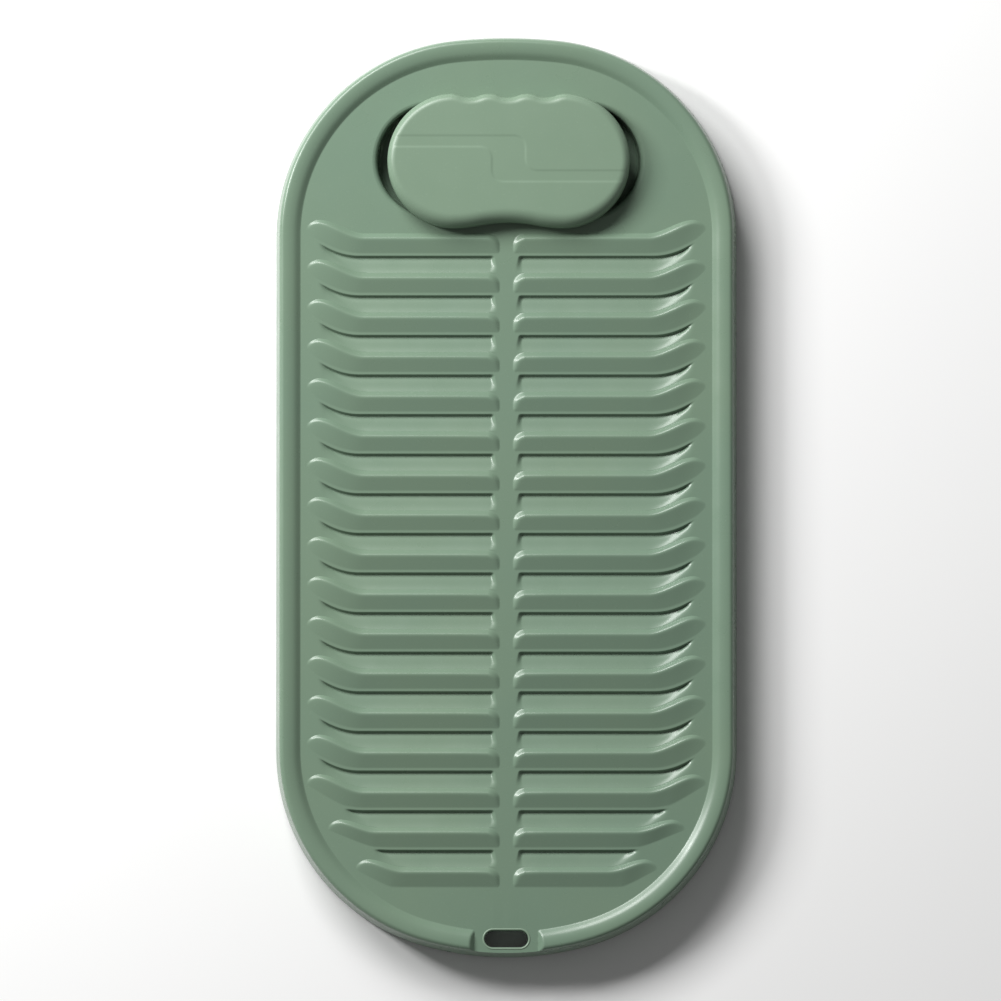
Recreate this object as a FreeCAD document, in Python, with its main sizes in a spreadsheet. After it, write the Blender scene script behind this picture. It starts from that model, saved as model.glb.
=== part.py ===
import FreeCAD, Part
import math
import os
import Sketcher

# A moulded plastic washboard that lies on six rubber feet, with a scrubbing brush that lifts out of
# a pocket in its upper end.  Millimetres.  X is across the board, +Y runs from the hanging slot to
# the brush, +Z is up out of the scrubbing face.  The origin is the middle of the footprint, on the
# surface that the feet stand on.

Vector = FreeCAD.Vector
Constraint = Sketcher.Constraint

DRIVING = {
    # the board's outline: two straight sides closed by three-arc ends
    "board_length": 500,
    "board_width": 250,
    "top_crown": 274,
    "top_corner": 108,
    "low_crown": 166,
    "low_corner": 110,
    # heights above the standing surface, and the moulding's wall
    "lip_height": 2,
    "face_height": 22,
    "wall": 2.2,
    # the raised rim: a rounded bead on a drafted side wall
    "rim_width": 12.5,
    "rim_rise": 3.1,
    "side_draft": 1.8,
    "shoulder_radius": 2.6,
    "overlap": 1,
    # the saw-toothed rubbing ribs, in two mirrored columns
    "rib_rows": 17,
    "rib_pitch": 21.5,
    "first_crest": 140.15,
    "rib_height": 2.5,
    "rib_front": 2.2,
    "rib_run": 9.8,
    "rib_shoulder": 0.7,
    "rib_lip": 0.4,
    "rib_corner": 7.8,
    "rib_corner_drop": 4.6,
    "rib_hump": 6.5,
    "least_rib_back": 0.9,
    "spine_half": 4,
    "groove_depth": 2.2,
    "groove_root": 5.5,
    "groove_bend": 22,
    "groove_closing": 10,
    "groove_end_width": 2.4,
    "groove_skin_width": 9.5,
    "groove_skin_floor": 3.2,
    "groove_gap": 0.2,
    "skin_sunk": 0.6,
    "skin_margin": 0.8,
    "rib_tip": 107.8,
    "rib_sweep": 31,
    "rib_rise": 7.3,
    "tip_drop": 2.8,
    "groove_end": 102,
    "second_last_tip": 96.2,
    "last_tip": 81.2,
    "low_rib_rise": 4.2,
    "low_rib_sweep": 26,
    "third_last_groove_end": 87.7,
    "third_last_groove_rise": 1,
    "second_last_groove_end": 71.8,
    "second_last_groove_rise": 0.4,
    "last_foot_length": 7,
    "low_groove_bend": 11,
    "low_groove_closing": 7,
    # the pocket that the brush stands in
    "pocket_x": 1.2,
    "pocket_y": 182,
    "pocket_length": 142.5,
    "pocket_width": 59.5,
    "pocket_floor": 4.5,
    "pocket_draft": 2,
    "pocket_round": 3,
    "drain_length": 20,
    "drain_width": 3.5,
    "drain_gap": 34,
    # the hanging slot and the break in the rim round it
    "slot_y": -240.6,
    "slot_length": 23.5,
    "slot_width": 9,
    "slot_round": 1.2,
    "collar_wall": 1.9,
    "rim_break": 34.6,
    "rim_break_slope": 2.6,
    "rim_break_reach": 20,
    "tab_hollow": 10,
    # stiffening webs and the bosses that hold the feet, under the face
    "web_thickness": 2.2,
    "web_bottom": 10,
    "web_overlap": 0.1,
    "web_x": 45,
    "web_first": 150,
    "web_gap": 86,
    "web_inset": 2.4,
    "low_web_inset": 18.5,
    "boss_radius": 10.5,
    "boss_lift": 0.2,
    "foot_radius": 8,
    "foot_seat": 4,
    "stem_radius": 3,
    "stem_top": 9,
    "foot_clearance": 0.1,
    "foot_round": 0.6,
    "end_room": 0.5,
    "top_foot_x": 97,
    "top_foot_y": 172,
    "middle_foot_x": 100,
    "low_foot_x": 92,
    "low_foot_y": -178,
    # the brush: handle
    "brush_y": 181.3,
    "handle_gap": 0.3,
    "handle_height": 12.5,
    "handle_half_length": 65.75,
    "handle_half_width": 36.5,
    "handle_round": 4.5,
    "handle_wall": 2.6,
    "bump_pitch": 20.7,
    "bump_depth": 2,
    "bump_shoulder": 0.28,
    "waist_depth": 3,
    "step_width": 6.2,
    "step_depth": 0.2,
    "step_rise": 19,
    "step_x": 8.7,
    "step_radius": 4,
    "step_inner_radius": 6.4,
    # the brush: bristle plate, tufts and their wire anchors
    "plate_length": 120,
    "plate_width": 46,
    "plate_bottom": 20.5,
    "plate_thickness": 5,
    "plate_clearance": 0.2,
    "plate_round": 0.8,
    "peg_radius": 2.5,
    "peg_length": 4.5,
    "peg_x": 40,
    "peg_boss_radius": 4.5,
    "peg_boss_gap": 1.5,
    "tuft_pitch": 8,
    "row_pitch": 7.2,
    "tuft_rows": 6,
    "tuft_hole_radius": 1.3,
    "tuft_hole_depth": 3.5,
    "tuft_root_radius": 1.15,
    "tuft_tip_radius": 1.7,
    "tuft_tip_height": 5.3,
    "anchor_length": 2.2,
    "anchor_thickness": 0.5,
    "anchor_height": 1.4,
}

FOOT_PLACES = {
    "foot_top_left": ("-sizes.top_foot_x", "sizes.top_foot_y"),
    "foot_top_right": ("sizes.top_foot_x", "sizes.top_foot_y"),
    "foot_middle_left": ("-sizes.middle_foot_x", "sizes.web_first - 2 * sizes.web_gap"),
    "foot_middle_right": ("sizes.middle_foot_x", "sizes.web_first - 2 * sizes.web_gap"),
    "foot_low_left": ("-sizes.low_foot_x", "sizes.low_foot_y"),
    "foot_low_right": ("sizes.low_foot_x", "sizes.low_foot_y"),
}

# tufts in each row, counted from the row nearest the hanging slot
TUFTS_IN_ROW = (12, 13, 14, 14, 13, 12)


# the middle of the board, and how near two places count as the same
MIDLINE = "0"
NEAR = 1e-3


# ---------------------------------------------------------------- the document and its sizes

doc = FreeCAD.newDocument("washboard")
sizes = doc.addObject("Spreadsheet::Sheet", "sizes")
for line, (alias, number) in enumerate(DRIVING.items(), 1):
    sizes.set(f"A{line}", alias)
    sizes.set(f"B{line}", str(number))
    sizes.setAlias(f"B{line}", alias)
gauge = doc.addObject("App::FeaturePython", "gauge")
gauge.addProperty("App::PropertyFloat", "reading")
doc.recompute()


def size(alias):
    """The number that the sheet holds under an alias."""
    return float(sizes.get(alias))


def measure(text):
    """The value of an expression in the sheet's aliases."""
    gauge.setExpression("reading", text)
    gauge.recompute()
    return gauge.reading


# ---------------------------------------------------------------- helpers for sketches and bodies


def new_body(label):
    body = doc.addObject("PartDesign::Body", label)
    body.Label = label
    return body


def origin_feature(body, role):
    return next(f for f in body.Origin.OriginFeatures if f.Role == role)


def new_sketch(body, name, role="XY_Plane", height=None):
    """A sketch on one of the body's own origin planes, lifted along its normal by an expression."""
    sketch = body.newObject("Sketcher::SketchObject", name)
    sketch.AttachmentSupport = [(origin_feature(body, role), "")]
    sketch.MapMode = "FlatFace"
    if height:
        sketch.setExpression("AttachmentOffset.Base.z", height)
    return sketch


def bind(sketch, constraint, text):
    """Adds a dimension and ties it to an expression."""
    index = sketch.addConstraint(constraint)
    sketch.setExpression(f"Constraints[{index}]", text)


def pin_point(sketch, geometry, position, place):
    """Fixes a point at a place given as two expressions, each read from the sketch's origin."""
    for kind, text in zip(("DistanceX", "DistanceY"), place):
        bind(sketch, Constraint(kind, -1, 1, geometry, position, measure(text)), text)


def at(place):
    return Vector(measure(place[0]), measure(place[1]), 0)


def end_near(sketch, geometry, point):
    """Which end of a line or arc lies at a point: 1 is its start and 2 its end."""
    found = sketch.Geometry[geometry]
    nearer_start = found.StartPoint.distanceToPoint(point) < found.EndPoint.distanceToPoint(point)
    return 1 if nearer_start else 2


def arc_through(start, middle, end):
    """An arc that always runs anticlockwise, as a sketch keeps it."""
    anticlockwise = (middle - start).cross(end - middle).z > 0
    return Part.Arc(start, middle, end) if anticlockwise else Part.Arc(end, middle, start)


def chain(sketch, start, pieces):
    """A closed outline.  Each piece is (end,) for a line or (middle, end) for an arc; all are
    places given as expressions."""
    here = start
    made = []
    for piece in pieces:
        end = piece[-1]
        if len(piece) == 1:
            curve = Part.LineSegment(at(here), at(end))
        else:
            curve = arc_through(at(here), at(piece[0]), at(end))
        made.append((sketch.addGeometry(curve, False), here, piece))
        here = end
    for index, begin, piece in made:
        pin_point(sketch, index, end_near(sketch, index, at(begin)), begin)
        if len(piece) == 2:
            middle = sketch.addGeometry(Part.Point(at(piece[0])), True)
            pin_point(sketch, middle, 1, piece[0])
            sketch.addConstraint(Constraint("PointOnObject", middle, 1, index))
    for (one, _, piece), (two, _, _) in zip(made, made[1:] + made[:1]):
        joint = at(piece[-1])
        ends = (one, end_near(sketch, one, joint), two, end_near(sketch, two, joint))
        sketch.addConstraint(Constraint("Coincident", *ends))


def polygon(sketch, corners):
    chain(sketch, corners[0], [(corner,) for corner in corners[1:] + corners[:1]])


def rectangle(sketch, centre, half_x, half_y):
    x, y = centre
    polygon(
        sketch,
        [
            (f"{x} - ({half_x})", f"{y} - ({half_y})"),
            (f"{x} + ({half_x})", f"{y} - ({half_y})"),
            (f"{x} + ({half_x})", f"{y} + ({half_y})"),
            (f"{x} - ({half_x})", f"{y} + ({half_y})"),
        ],
    )


def capsule(sketch, centre, length, width):
    """A slot shape along X: two straight sides and two half-round ends."""
    x, y = centre
    radius = f"({width}) / 2"
    straight = f"(({length}) - ({width})) / 2"
    chain(
        sketch,
        (f"{x} - {straight}", f"{y} - {radius}"),
        [
            ((f"{x} + {straight}", f"{y} - {radius}"),),
            ((f"{x} + ({length}) / 2", y), (f"{x} + {straight}", f"{y} + {radius}")),
            ((f"{x} - {straight}", f"{y} + {radius}"),),
            ((f"{x} - ({length}) / 2", y), (f"{x} - {straight}", f"{y} - {radius}")),
        ],
    )


def circle(sketch, centre, radius):
    index = sketch.addGeometry(Part.Circle(at(centre), Vector(0, 0, 1), measure(radius)), False)
    pin_point(sketch, index, 3, centre)
    bind(sketch, Constraint("Radius", index, measure(radius)), radius)


def pad(body, name, sketch, length, taper=0):
    feature = body.newObject("PartDesign::Pad", name)
    feature.Profile = sketch
    feature.setExpression("Length", length)
    feature.TaperAngle = taper
    doc.recompute()
    return feature


def cut(body, name, sketch, length, upward=False, taper=0):
    """A pocket down from the sketch, or up from it; it has to take something away."""
    before = body.Tip.Shape.Volume
    feature = body.newObject("PartDesign::Pocket", name)
    feature.Profile = sketch
    feature.setExpression("Length", length)
    feature.Reversed = upward
    feature.TaperAngle = taper
    doc.recompute()
    if not feature.Shape.Volume < before - NEAR:
        raise RuntimeError(f"{name} cuts nothing")
    return feature


def round_edges(body, name, radius, wanted):
    """Fillets the edges of the body's tip that the test picks out."""
    base = body.Tip
    names = [f"Edge{n}" for n, edge in enumerate(base.Shape.Edges, 1) if wanted(edge)]
    if not names:
        raise RuntimeError(f"{name} finds no edges")
    feature = body.newObject("PartDesign::Fillet", name)
    feature.Base = (base, names)
    feature.setExpression("Radius", radius)
    doc.recompute()
    return feature


def below(level):
    """A test for edges at a level or under it."""
    return lambda edge: edge.BoundBox.ZMax < measure(level) + NEAR


def above(level):
    """A test for edges at a level or over it."""
    return lambda edge: edge.BoundBox.ZMin > measure(level) - NEAR


def repeat_along_x(body, name, feature, span, count):
    pattern = body.newObject("PartDesign::LinearPattern", name)
    pattern.Originals = [feature]
    pattern.Direction = (origin_feature(body, "X_Axis"), [""])
    pattern.setExpression("Length", span)
    pattern.Occurrences = count
    body.Tip = pattern
    doc.recompute()
    return pattern


# ---------------------------------------------------------------- the board's outline


def end_centres(sign, crown, corner):
    """Centres of an end's crown and right-hand corner arcs, and the angle where the two meet."""
    offset = size("board_width") / 2 - corner
    rise = math.sqrt((crown - corner) ** 2 - offset**2)
    centre_y = sign * (size("board_length") / 2 - crown)
    corner_centre = Vector(offset, centre_y + sign * rise, 0)
    return Vector(0, centre_y, 0), corner_centre, math.atan2(sign * rise, offset)


def mirrored(point):
    return Vector(-point.x, point.y, point.z)


def board_outline(sketch, inset="0", gap=None):
    """The outline, moved inwards by an inset; a gap leaves it open across the bottom crown."""
    depth = measure(inset)
    side = size("board_width") / 2 - depth
    up = Vector(0, 0, 1)

    def arc(centre, radius, first, last):
        ring = Part.Circle(centre, up, radius - depth)
        return sketch.addGeometry(Part.ArcOfCircle(ring, first, last), False)

    top, top_right, top_angle = end_centres(1, size("top_crown"), size("top_corner"))
    low, low_right, low_angle = end_centres(-1, size("low_crown"), size("low_corner"))
    pi = math.pi
    top_right_arc = arc(top_right, size("top_corner"), 0, top_angle)
    top_arc = arc(top, size("top_crown"), top_angle, pi - top_angle)
    top_left_arc = arc(mirrored(top_right), size("top_corner"), pi - top_angle, pi)
    left = sketch.addGeometry(
        Part.LineSegment(Vector(-side, top_right.y, 0), Vector(-side, low_right.y, 0)), False
    )
    low_left_arc = arc(mirrored(low_right), size("low_corner"), pi, pi - low_angle)
    if gap:
        half = math.asin(measure(gap) / (size("low_crown") - depth))
        low_arcs = [
            arc(low, size("low_crown"), pi - low_angle, 1.5 * pi - half),
            arc(low, size("low_crown"), 1.5 * pi + half, 2 * pi + low_angle),
        ]
    else:
        low_arcs = [arc(low, size("low_crown"), pi - low_angle, 2 * pi + low_angle)]
    low_right_arc = arc(low_right, size("low_corner"), 2 * pi + low_angle, 2 * pi)
    right = sketch.addGeometry(
        Part.LineSegment(Vector(side, low_right.y, 0), Vector(side, top_right.y, 0)), False
    )

    runs = [top_arc, top_left_arc, left, low_left_arc, low_arcs[0]]
    runs_back = [low_arcs[-1], low_right_arc, right, top_right_arc, top_arc]
    for run in (runs, runs_back):
        for one, two in zip(run, run[1:]):
            sketch.addConstraint(Constraint("Tangent", one, 2, two, 1))
    radii = {
        "top_corner": [top_right_arc, top_left_arc],
        "top_crown": [top_arc],
        "low_corner": [low_left_arc, low_right_arc],
        "low_crown": low_arcs,
    }
    for alias, arcs in radii.items():
        for index in arcs:
            value = size(alias) - depth
            bind(sketch, Constraint("Radius", index, value), f"sizes.{alias} - ({inset})")
    width = f"sizes.board_width / 2 - ({inset})"
    for index, first, second in ((right, (-1, 1), (right, 1)), (left, (left, 1), (-1, 1))):
        sketch.addConstraint(Constraint("Vertical", index))
        bind(sketch, Constraint("DistanceX", *first, *second, side), width)
    sketch.addConstraint(Constraint("PointOnObject", top_arc, 3, -2))
    below = "sizes.top_crown - sizes.board_length / 2"
    bind(sketch, Constraint("DistanceY", top_arc, 3, -1, 1, measure(below)), below)
    for index in low_arcs:
        sketch.addConstraint(Constraint("PointOnObject", index, 3, -2))
        above = "sizes.board_length / 2 - sizes.low_crown"
        bind(sketch, Constraint("DistanceY", index, 3, -1, 1, measure(above)), above)
    if gap:
        bind(sketch, Constraint("DistanceX", low_arcs[0], 2, -1, 1, measure(gap)), gap)
        bind(sketch, Constraint("DistanceX", -1, 1, low_arcs[1], 1, measure(gap)), gap)


# ---------------------------------------------------------------- the board's moulding

HALF_WIDTH = "sizes.board_width / 2"
CREASE = "sizes.board_width / 2 - sizes.rim_width"
SHOULDER_X = "sizes.board_width / 2 - sizes.side_draft"
CREST_X = "sizes.board_width / 2 - sizes.side_draft - sizes.shoulder_radius"
RIM_TOP = "sizes.face_height + sizes.rim_rise"
SHOULDER_Z = "sizes.face_height + sizes.rim_rise - sizes.shoulder_radius"
FACE_BACK = "sizes.face_height - sizes.wall"
WEB_TOP = "sizes.face_height - sizes.wall + sizes.web_overlap"
POCKET_CENTRE = ("sizes.pocket_x", "sizes.pocket_y")
SLOT_CENTRE = (MIDLINE, "sizes.slot_y")
OVERLAP = "sizes.overlap"


def rim_section(sketch, skin, bottom):
    """The rim's section, drawn on the right-hand side: side wall, shoulder and inner slope.  The
    inner slope is an arc that is level at the crest and ends in the crease at the face.  A skin
    thickness moves every surface inwards by that much."""
    run = measure(f"{CREST_X} - ({CREASE})")
    rise = size("rim_rise")
    slope_radius = (run**2 + rise**2) / (2 * rise)
    slope = f"(({CREST_X} - ({CREASE})) ^ 2 + sizes.rim_rise ^ 2) / (2 * sizes.rim_rise)"
    slope_z = f"({RIM_TOP} - ({slope}))"
    floor = f"(sizes.face_height - {skin})"
    inner = f"({CREST_X} - sqrt(({slope} - {skin}) ^ 2 - ({floor} - {slope_z}) ^ 2))"
    middle_angle = 0.5 * (90 + math.degrees(math.acos(-run / slope_radius)))
    chain(
        sketch,
        (f"{CREASE} - {OVERLAP}", bottom),
        [
            ((f"{HALF_WIDTH} - {skin}", bottom),),
            ((f"{SHOULDER_X} - {skin}", SHOULDER_Z),),
            (
                (
                    f"{CREST_X} + (sizes.shoulder_radius - {skin}) * cos(45)",
                    f"{SHOULDER_Z} + (sizes.shoulder_radius - {skin}) * sin(45)",
                ),
                (CREST_X, f"{RIM_TOP} - {skin}"),
            ),
            (
                (
                    f"{CREST_X} + ({slope} - {skin}) * cos({middle_angle})",
                    f"{slope_z} + ({slope} - {skin}) * sin({middle_angle})",
                ),
                (inner, floor),
            ),
            ((f"{CREASE} - {OVERLAP}", floor),),
            ((f"{CREASE} - {OVERLAP}", bottom),),
        ],
    )


def sweep(body, kind, name, section, path):
    feature = body.newObject(f"PartDesign::{kind}", name)
    feature.Profile = section
    feature.Spine = (path, [f"Edge{n}" for n in range(1, len(path.Shape.Edges) + 1)])
    doc.recompute()
    return feature


def build_tray():
    """The moulding without its ribs: rim, face, brush pocket, hanging slot, webs and bosses."""
    body = new_body("tray")

    path = new_sketch(body, "rim_path")
    board_outline(path)
    section = new_sketch(body, "rim_section", "XZ_Plane")
    rim_section(section, "0", "sizes.lip_height")
    doc.recompute()
    sweep(body, "AdditivePipe", "rim", section, path)

    block = new_sketch(body, "block_outline", height="sizes.lip_height")
    board_outline(block, "sizes.rim_width")
    pad(body, "block", block, "sizes.face_height - sizes.lip_height")

    # the hollow underneath stops short of the break in the rim, which stays closed
    hollow_path = new_sketch(body, "hollow_path")
    board_outline(hollow_path, gap=f"sizes.rim_break / 2 + sizes.rim_break_slope + {OVERLAP}")
    hollow_section = new_sketch(body, "hollow_section", "XZ_Plane")
    rim_section(hollow_section, "sizes.wall", "0")
    doc.recompute()
    sweep(body, "SubtractivePipe", "rim_hollow", hollow_section, hollow_path)
    under = new_sketch(body, "under_outline")
    board_outline(under, "sizes.rim_width")
    cut(body, "under_hollow", under, FACE_BACK, upward=True)

    # the rim is broken round the hanging slot, down to the face, with sloping ends
    outer_edge = "-sizes.board_length / 2"
    tab = new_sketch(body, "tab_hollow_outline")
    tab_middle = f"{outer_edge} + 2 * sizes.side_draft + sizes.tab_hollow / 2"
    rectangle(tab, (MIDLINE, tab_middle), "sizes.rim_break / 2", "sizes.tab_hollow / 2")
    cut(body, "tab_hollow", tab, FACE_BACK, upward=True)
    gap_start = "sizes.board_length / 2 - sizes.rim_break_reach"
    gap = new_sketch(body, "rim_break_outline", "XZ_Plane", gap_start)
    half = "sizes.rim_break / 2"
    polygon(
        gap,
        [
            (f"-{half}", "sizes.face_height"),
            (half, "sizes.face_height"),
            (f"{half} + 2 * sizes.rim_break_slope", f"{RIM_TOP} + sizes.rim_rise"),
            (f"-{half} - 2 * sizes.rim_break_slope", f"{RIM_TOP} + sizes.rim_rise"),
        ],
    )
    cut(body, "rim_break", gap, "2 * sizes.rim_break_reach", upward=True)

    # the pocket that the brush stands in
    shell = "2 * sizes.wall"
    tub = new_sketch(body, "tub_outline", height="sizes.lip_height")
    capsule(tub, POCKET_CENTRE, f"sizes.pocket_length + {shell}", f"sizes.pocket_width + {shell}")
    pad(body, "tub", tub, f"{FACE_BACK} - sizes.lip_height + {OVERLAP}")
    mouth = new_sketch(body, "pocket_outline", height="sizes.face_height")
    capsule(mouth, POCKET_CENTRE, "sizes.pocket_length", "sizes.pocket_width")
    depth = "sizes.face_height - sizes.pocket_floor"
    cut(body, "pocket", mouth, depth, taper=-size("pocket_draft"))
    drains = new_sketch(body, "drain_outline", height="sizes.face_height")
    for step in ("-sizes.drain_gap", MIDLINE, "sizes.drain_gap"):
        centre = (f"sizes.pocket_x + ({step})", "sizes.pocket_y")
        capsule(drains, centre, "sizes.drain_length", "sizes.drain_width")
    cut(body, "drains", drains, "sizes.face_height")
    mouth_rim = ("face_height", "pocket_y", "pocket_width")
    round_edges(body, "pocket_round", "sizes.pocket_round", lambda edge: around(edge, *mouth_rim))

    # stiffening webs, as a ladder under the face
    webs = new_sketch(body, "long_web_outline", height="sizes.web_bottom")
    height = f"{WEB_TOP} - sizes.web_bottom"
    half = "sizes.web_thickness / 2"
    for side in ("-1", "1"):
        centre = (f"{side} * sizes.web_x", "sizes.web_first - 2 * sizes.web_gap")
        rectangle(webs, centre, half, "2 * sizes.web_gap")
    pad(body, "long_webs", webs, height)
    rungs = new_sketch(body, "cross_web_outline", height="sizes.web_bottom")
    for step in range(4):
        centre = (MIDLINE, f"sizes.web_first - {step} * sizes.web_gap")
        rectangle(rungs, centre, f"{HALF_WIDTH} - sizes.web_inset", half)
    last = (MIDLINE, "sizes.web_first - 4 * sizes.web_gap")
    rectangle(rungs, last, f"{HALF_WIDTH} - sizes.low_web_inset", half)
    pad(body, "cross_webs", rungs, height)

    # bosses for the feet, each with a seat for the pad and a blind hole for its stem
    bosses = new_sketch(body, "boss_outline", height="sizes.lip_height + sizes.boss_lift")
    seats = new_sketch(body, "seat_outline")
    holes = new_sketch(body, "stem_hole_outline")
    for place in FOOT_PLACES.values():
        circle(bosses, place, "sizes.boss_radius")
        circle(seats, place, "sizes.foot_radius + sizes.foot_clearance")
        circle(holes, place, "sizes.stem_radius + sizes.foot_clearance")
    pad(body, "bosses", bosses, f"{WEB_TOP} - sizes.lip_height - sizes.boss_lift")
    cut(body, "seats", seats, "sizes.foot_seat", upward=True)
    cut(body, "stem_holes", holes, "sizes.stem_top + sizes.end_room", upward=True)

    # the hanging slot, with a collar below it and a rounded mouth
    collar = new_sketch(body, "collar_outline", height="sizes.face_height / 2")
    collar_length = "sizes.slot_length + 2 * sizes.collar_wall"
    collar_width = "sizes.slot_width + 2 * sizes.collar_wall"
    capsule(collar, SLOT_CENTRE, collar_length, collar_width)
    pad(body, "collar", collar, f"{FACE_BACK} - sizes.face_height / 2 + {OVERLAP}")
    slot = new_sketch(body, "slot_outline", height="sizes.face_height")
    capsule(slot, SLOT_CENTRE, "sizes.slot_length", "sizes.slot_width")
    cut(body, "slot", slot, "sizes.face_height")
    slot_rim = ("face_height", "slot_y", "slot_width")
    round_edges(body, "slot_round", "sizes.slot_round", lambda edge: around(edge, *slot_rim))
    return body


def around(edge, level, middle, width):
    """Whether an edge lies at a level, within half a width of a line along X."""
    box = edge.BoundBox
    flat = abs(box.ZMin - size(level)) < NEAR and abs(box.ZMax - size(level)) < NEAR
    close = abs(edge.CenterOfMass.y - size(middle)) < size(width) / 2 + NEAR
    return flat and close and abs(edge.CenterOfMass.x) < size("pocket_length") / 2


# ---------------------------------------------------------------- the ribs

LAST = int(size("rib_rows")) - 1

# where a rib and a groove are drawn: distance in from the root or the tip, and the share of the
# full height or depth that is reached there
RIB_ROOT = ((0, 0.03), (1.2, 0.4), (2.8, 0.85), (4.2, 1), (7.8, 1))
RIB_TIP = (
    (31, 1), (26, 1), (22, 1), (18, 1), (14.5, 0.95), (11, 0.82), (8, 0.64), (5, 0.42), (2.5, 0.22),
    (0, 0.03),
)
GROOVE_ROOT = ((0, 0.03), (1.5, 1))
GROOVE_TIP = ((20, 1), (16, 1), (12, 1), (8, 1), (5, 1), (2, 0.9), (0, 0.03))
LOW_GROOVE_TIP = ((11, 1), (8, 1), (5, 1), (2, 0.9), (0, 0.03))
SKIN_ROOT = ((-1.5, 0.05), (0.5, 1))
SKIN_TIP = ((20, 1), (9, 1), (-1.5, 0.05))

# sections, as shares of the height and of the length from crest to foot or from drop to ramp end
SHOULDER_HEIGHT = 0.78
CREST_BACK = (0.12, 0.94)
DROP_POINTS = ((0.08, 0.9), (0.16, 1), (0.4, 0.8))
CLOSING_POWER = 1.4
TIP_POWER = 1.25


def eased(fraction):
    """A step from 0 to 1 that starts and ends level."""
    inside = min(max(fraction, 0.0), 1.0)
    return inside * inside * (3 - 2 * inside)


def is_low(row):
    """Whether a row is one of the last three, which end short of the others."""
    return row >= LAST - 2


def rib_tip(row):
    return size({LAST: "last_tip", LAST - 1: "second_last_tip"}.get(row, "rib_tip"))


def rib_rise(row):
    return size("low_rib_rise" if row >= LAST - 1 else "rib_rise")


def rib_sweep(row):
    return size("low_rib_sweep" if row >= LAST - 1 else "rib_sweep")


def groove_end(row):
    if row == LAST:
        return rib_tip(row) - rib_sweep(row) + size("last_foot_length")
    aliases = {LAST - 1: "second_last_groove_end", LAST - 2: "third_last_groove_end"}
    return size(aliases.get(row, "groove_end"))


def foot_rise(row):
    """How far a rib's lower edge sweeps up; the last one runs straight."""
    if row == LAST:
        return 0
    aliases = {LAST - 1: "second_last_groove_rise", LAST - 2: "third_last_groove_rise"}
    return size(aliases.get(row, "rib_rise"))


def stations(start, near_start, end, near_end):
    """Places along X with their shares, given inwards from each end."""
    return [(start + step, share) for step, share in near_start] + [
        (end - step, share) for step, share in near_end
    ]


def crest_y(row, across):
    """Where a rib's crest runs: straight from a rounded corner at the spine, then swept up to a
    hump and down to the tip."""
    tip = rib_tip(row)
    sweep_length = rib_sweep(row)
    hump = size("rib_hump")
    corner = size("rib_corner")
    y = size("first_crest") - row * size("rib_pitch")
    from_spine = across - size("spine_half")
    if from_spine < corner:
        turn = min((corner - from_spine) / corner, 1.0)
        return y - size("rib_corner_drop") * (1 - math.sqrt(1 - turn * turn))
    y += rib_rise(row) * eased((across - tip + sweep_length) / (sweep_length - hump))
    past_hump = max(across - tip + hump, 0.0) / hump
    return y - size("tip_drop") * past_hump**2


def rib_foot_y(row, across):
    """The lower edge of a rib, which is also the upper edge of its groove.  Past the end of the
    groove it runs up to the rib's tip."""
    tip = rib_tip(row)
    end = groove_end(row)
    bend = size("low_groove_bend" if is_low(row) else "groove_bend")
    straight = size("first_crest") - row * size("rib_pitch") - size("rib_run")
    swept = min(max((across - end + bend) / bend, 0.0), 1.0)
    y = straight + foot_rise(row) * swept**2
    if across <= end:
        return y
    share = min((across - end) / (tip - end), 1.0)
    return y + (crest_y(row, tip) - size("least_rib_back") - y) * share**TIP_POWER


def groove_foot_y(row, across):
    """The lower edge of a groove: it follows the front of the next rib and closes up at its end."""
    next_front = crest_y(row + 1, across) + size("rib_front") + size("groove_gap")
    end = groove_end(row)
    closing = size("low_groove_closing" if is_low(row) else "groove_closing")
    share = min(max((across - end + closing) / closing, 0.0), 1.0) ** CLOSING_POWER
    closed = rib_foot_y(row, across) - size("groove_end_width")
    return next_front + (closed - next_front) * share


def section_at(across, corners):
    """A closed section across the ribs, in the plane at a distance from the spine."""
    points = [Vector(across, y, z) for y, z in corners]
    return Part.makePolygon(points + points[:1])


def rib_solid(row):
    """A rib above the face: a steep front, a rounded crest and a long slope down to its foot."""
    face = size("face_height")
    lip = size("rib_lip")
    sunk = face - size("wall") / 2
    sections = []
    for across, share in stations(size("spine_half"), RIB_ROOT, rib_tip(row), RIB_TIP):
        crest = crest_y(row, across)
        top = size("rib_height") * share
        front = crest + lip + (size("rib_front") - lip) * share
        foot = min(rib_foot_y(row, across), crest - size("least_rib_back")) + lip
        shoulder = (crest + size("rib_shoulder") * share, face + SHOULDER_HEIGHT * top)
        slope_start = (crest - CREST_BACK[0] * (crest - foot), face + CREST_BACK[1] * top)
        corners = [(front, sunk), (front, face), shoulder, (crest, face + top)]
        corners += [slope_start, (foot, face), (foot, sunk)]
        sections.append(section_at(across, corners))
    return Part.makeLoft(sections, True, True)


def groove_solid(row):
    """The space of a groove below the face: a steep drop from the rib's foot and a long ramp back
    up to the next rib."""
    face = size("face_height")
    over = face + size("overlap")
    near_tip = LOW_GROOVE_TIP if is_low(row) else GROOVE_TIP
    sections = []
    for across, share in stations(size("groove_root"), GROOVE_ROOT, groove_end(row), near_tip):
        drop = rib_foot_y(row, across)
        ramp = groove_foot_y(row, across)
        depth = size("groove_depth") * share
        corners = [(drop, over), (drop, face)]
        corners += [(drop - run * (drop - ramp), face - deep * depth) for run, deep in DROP_POINTS]
        corners += [(ramp, face), (ramp, over)]
        sections.append(section_at(across, corners))
    return Part.makeLoft(sections, True, True)


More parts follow.
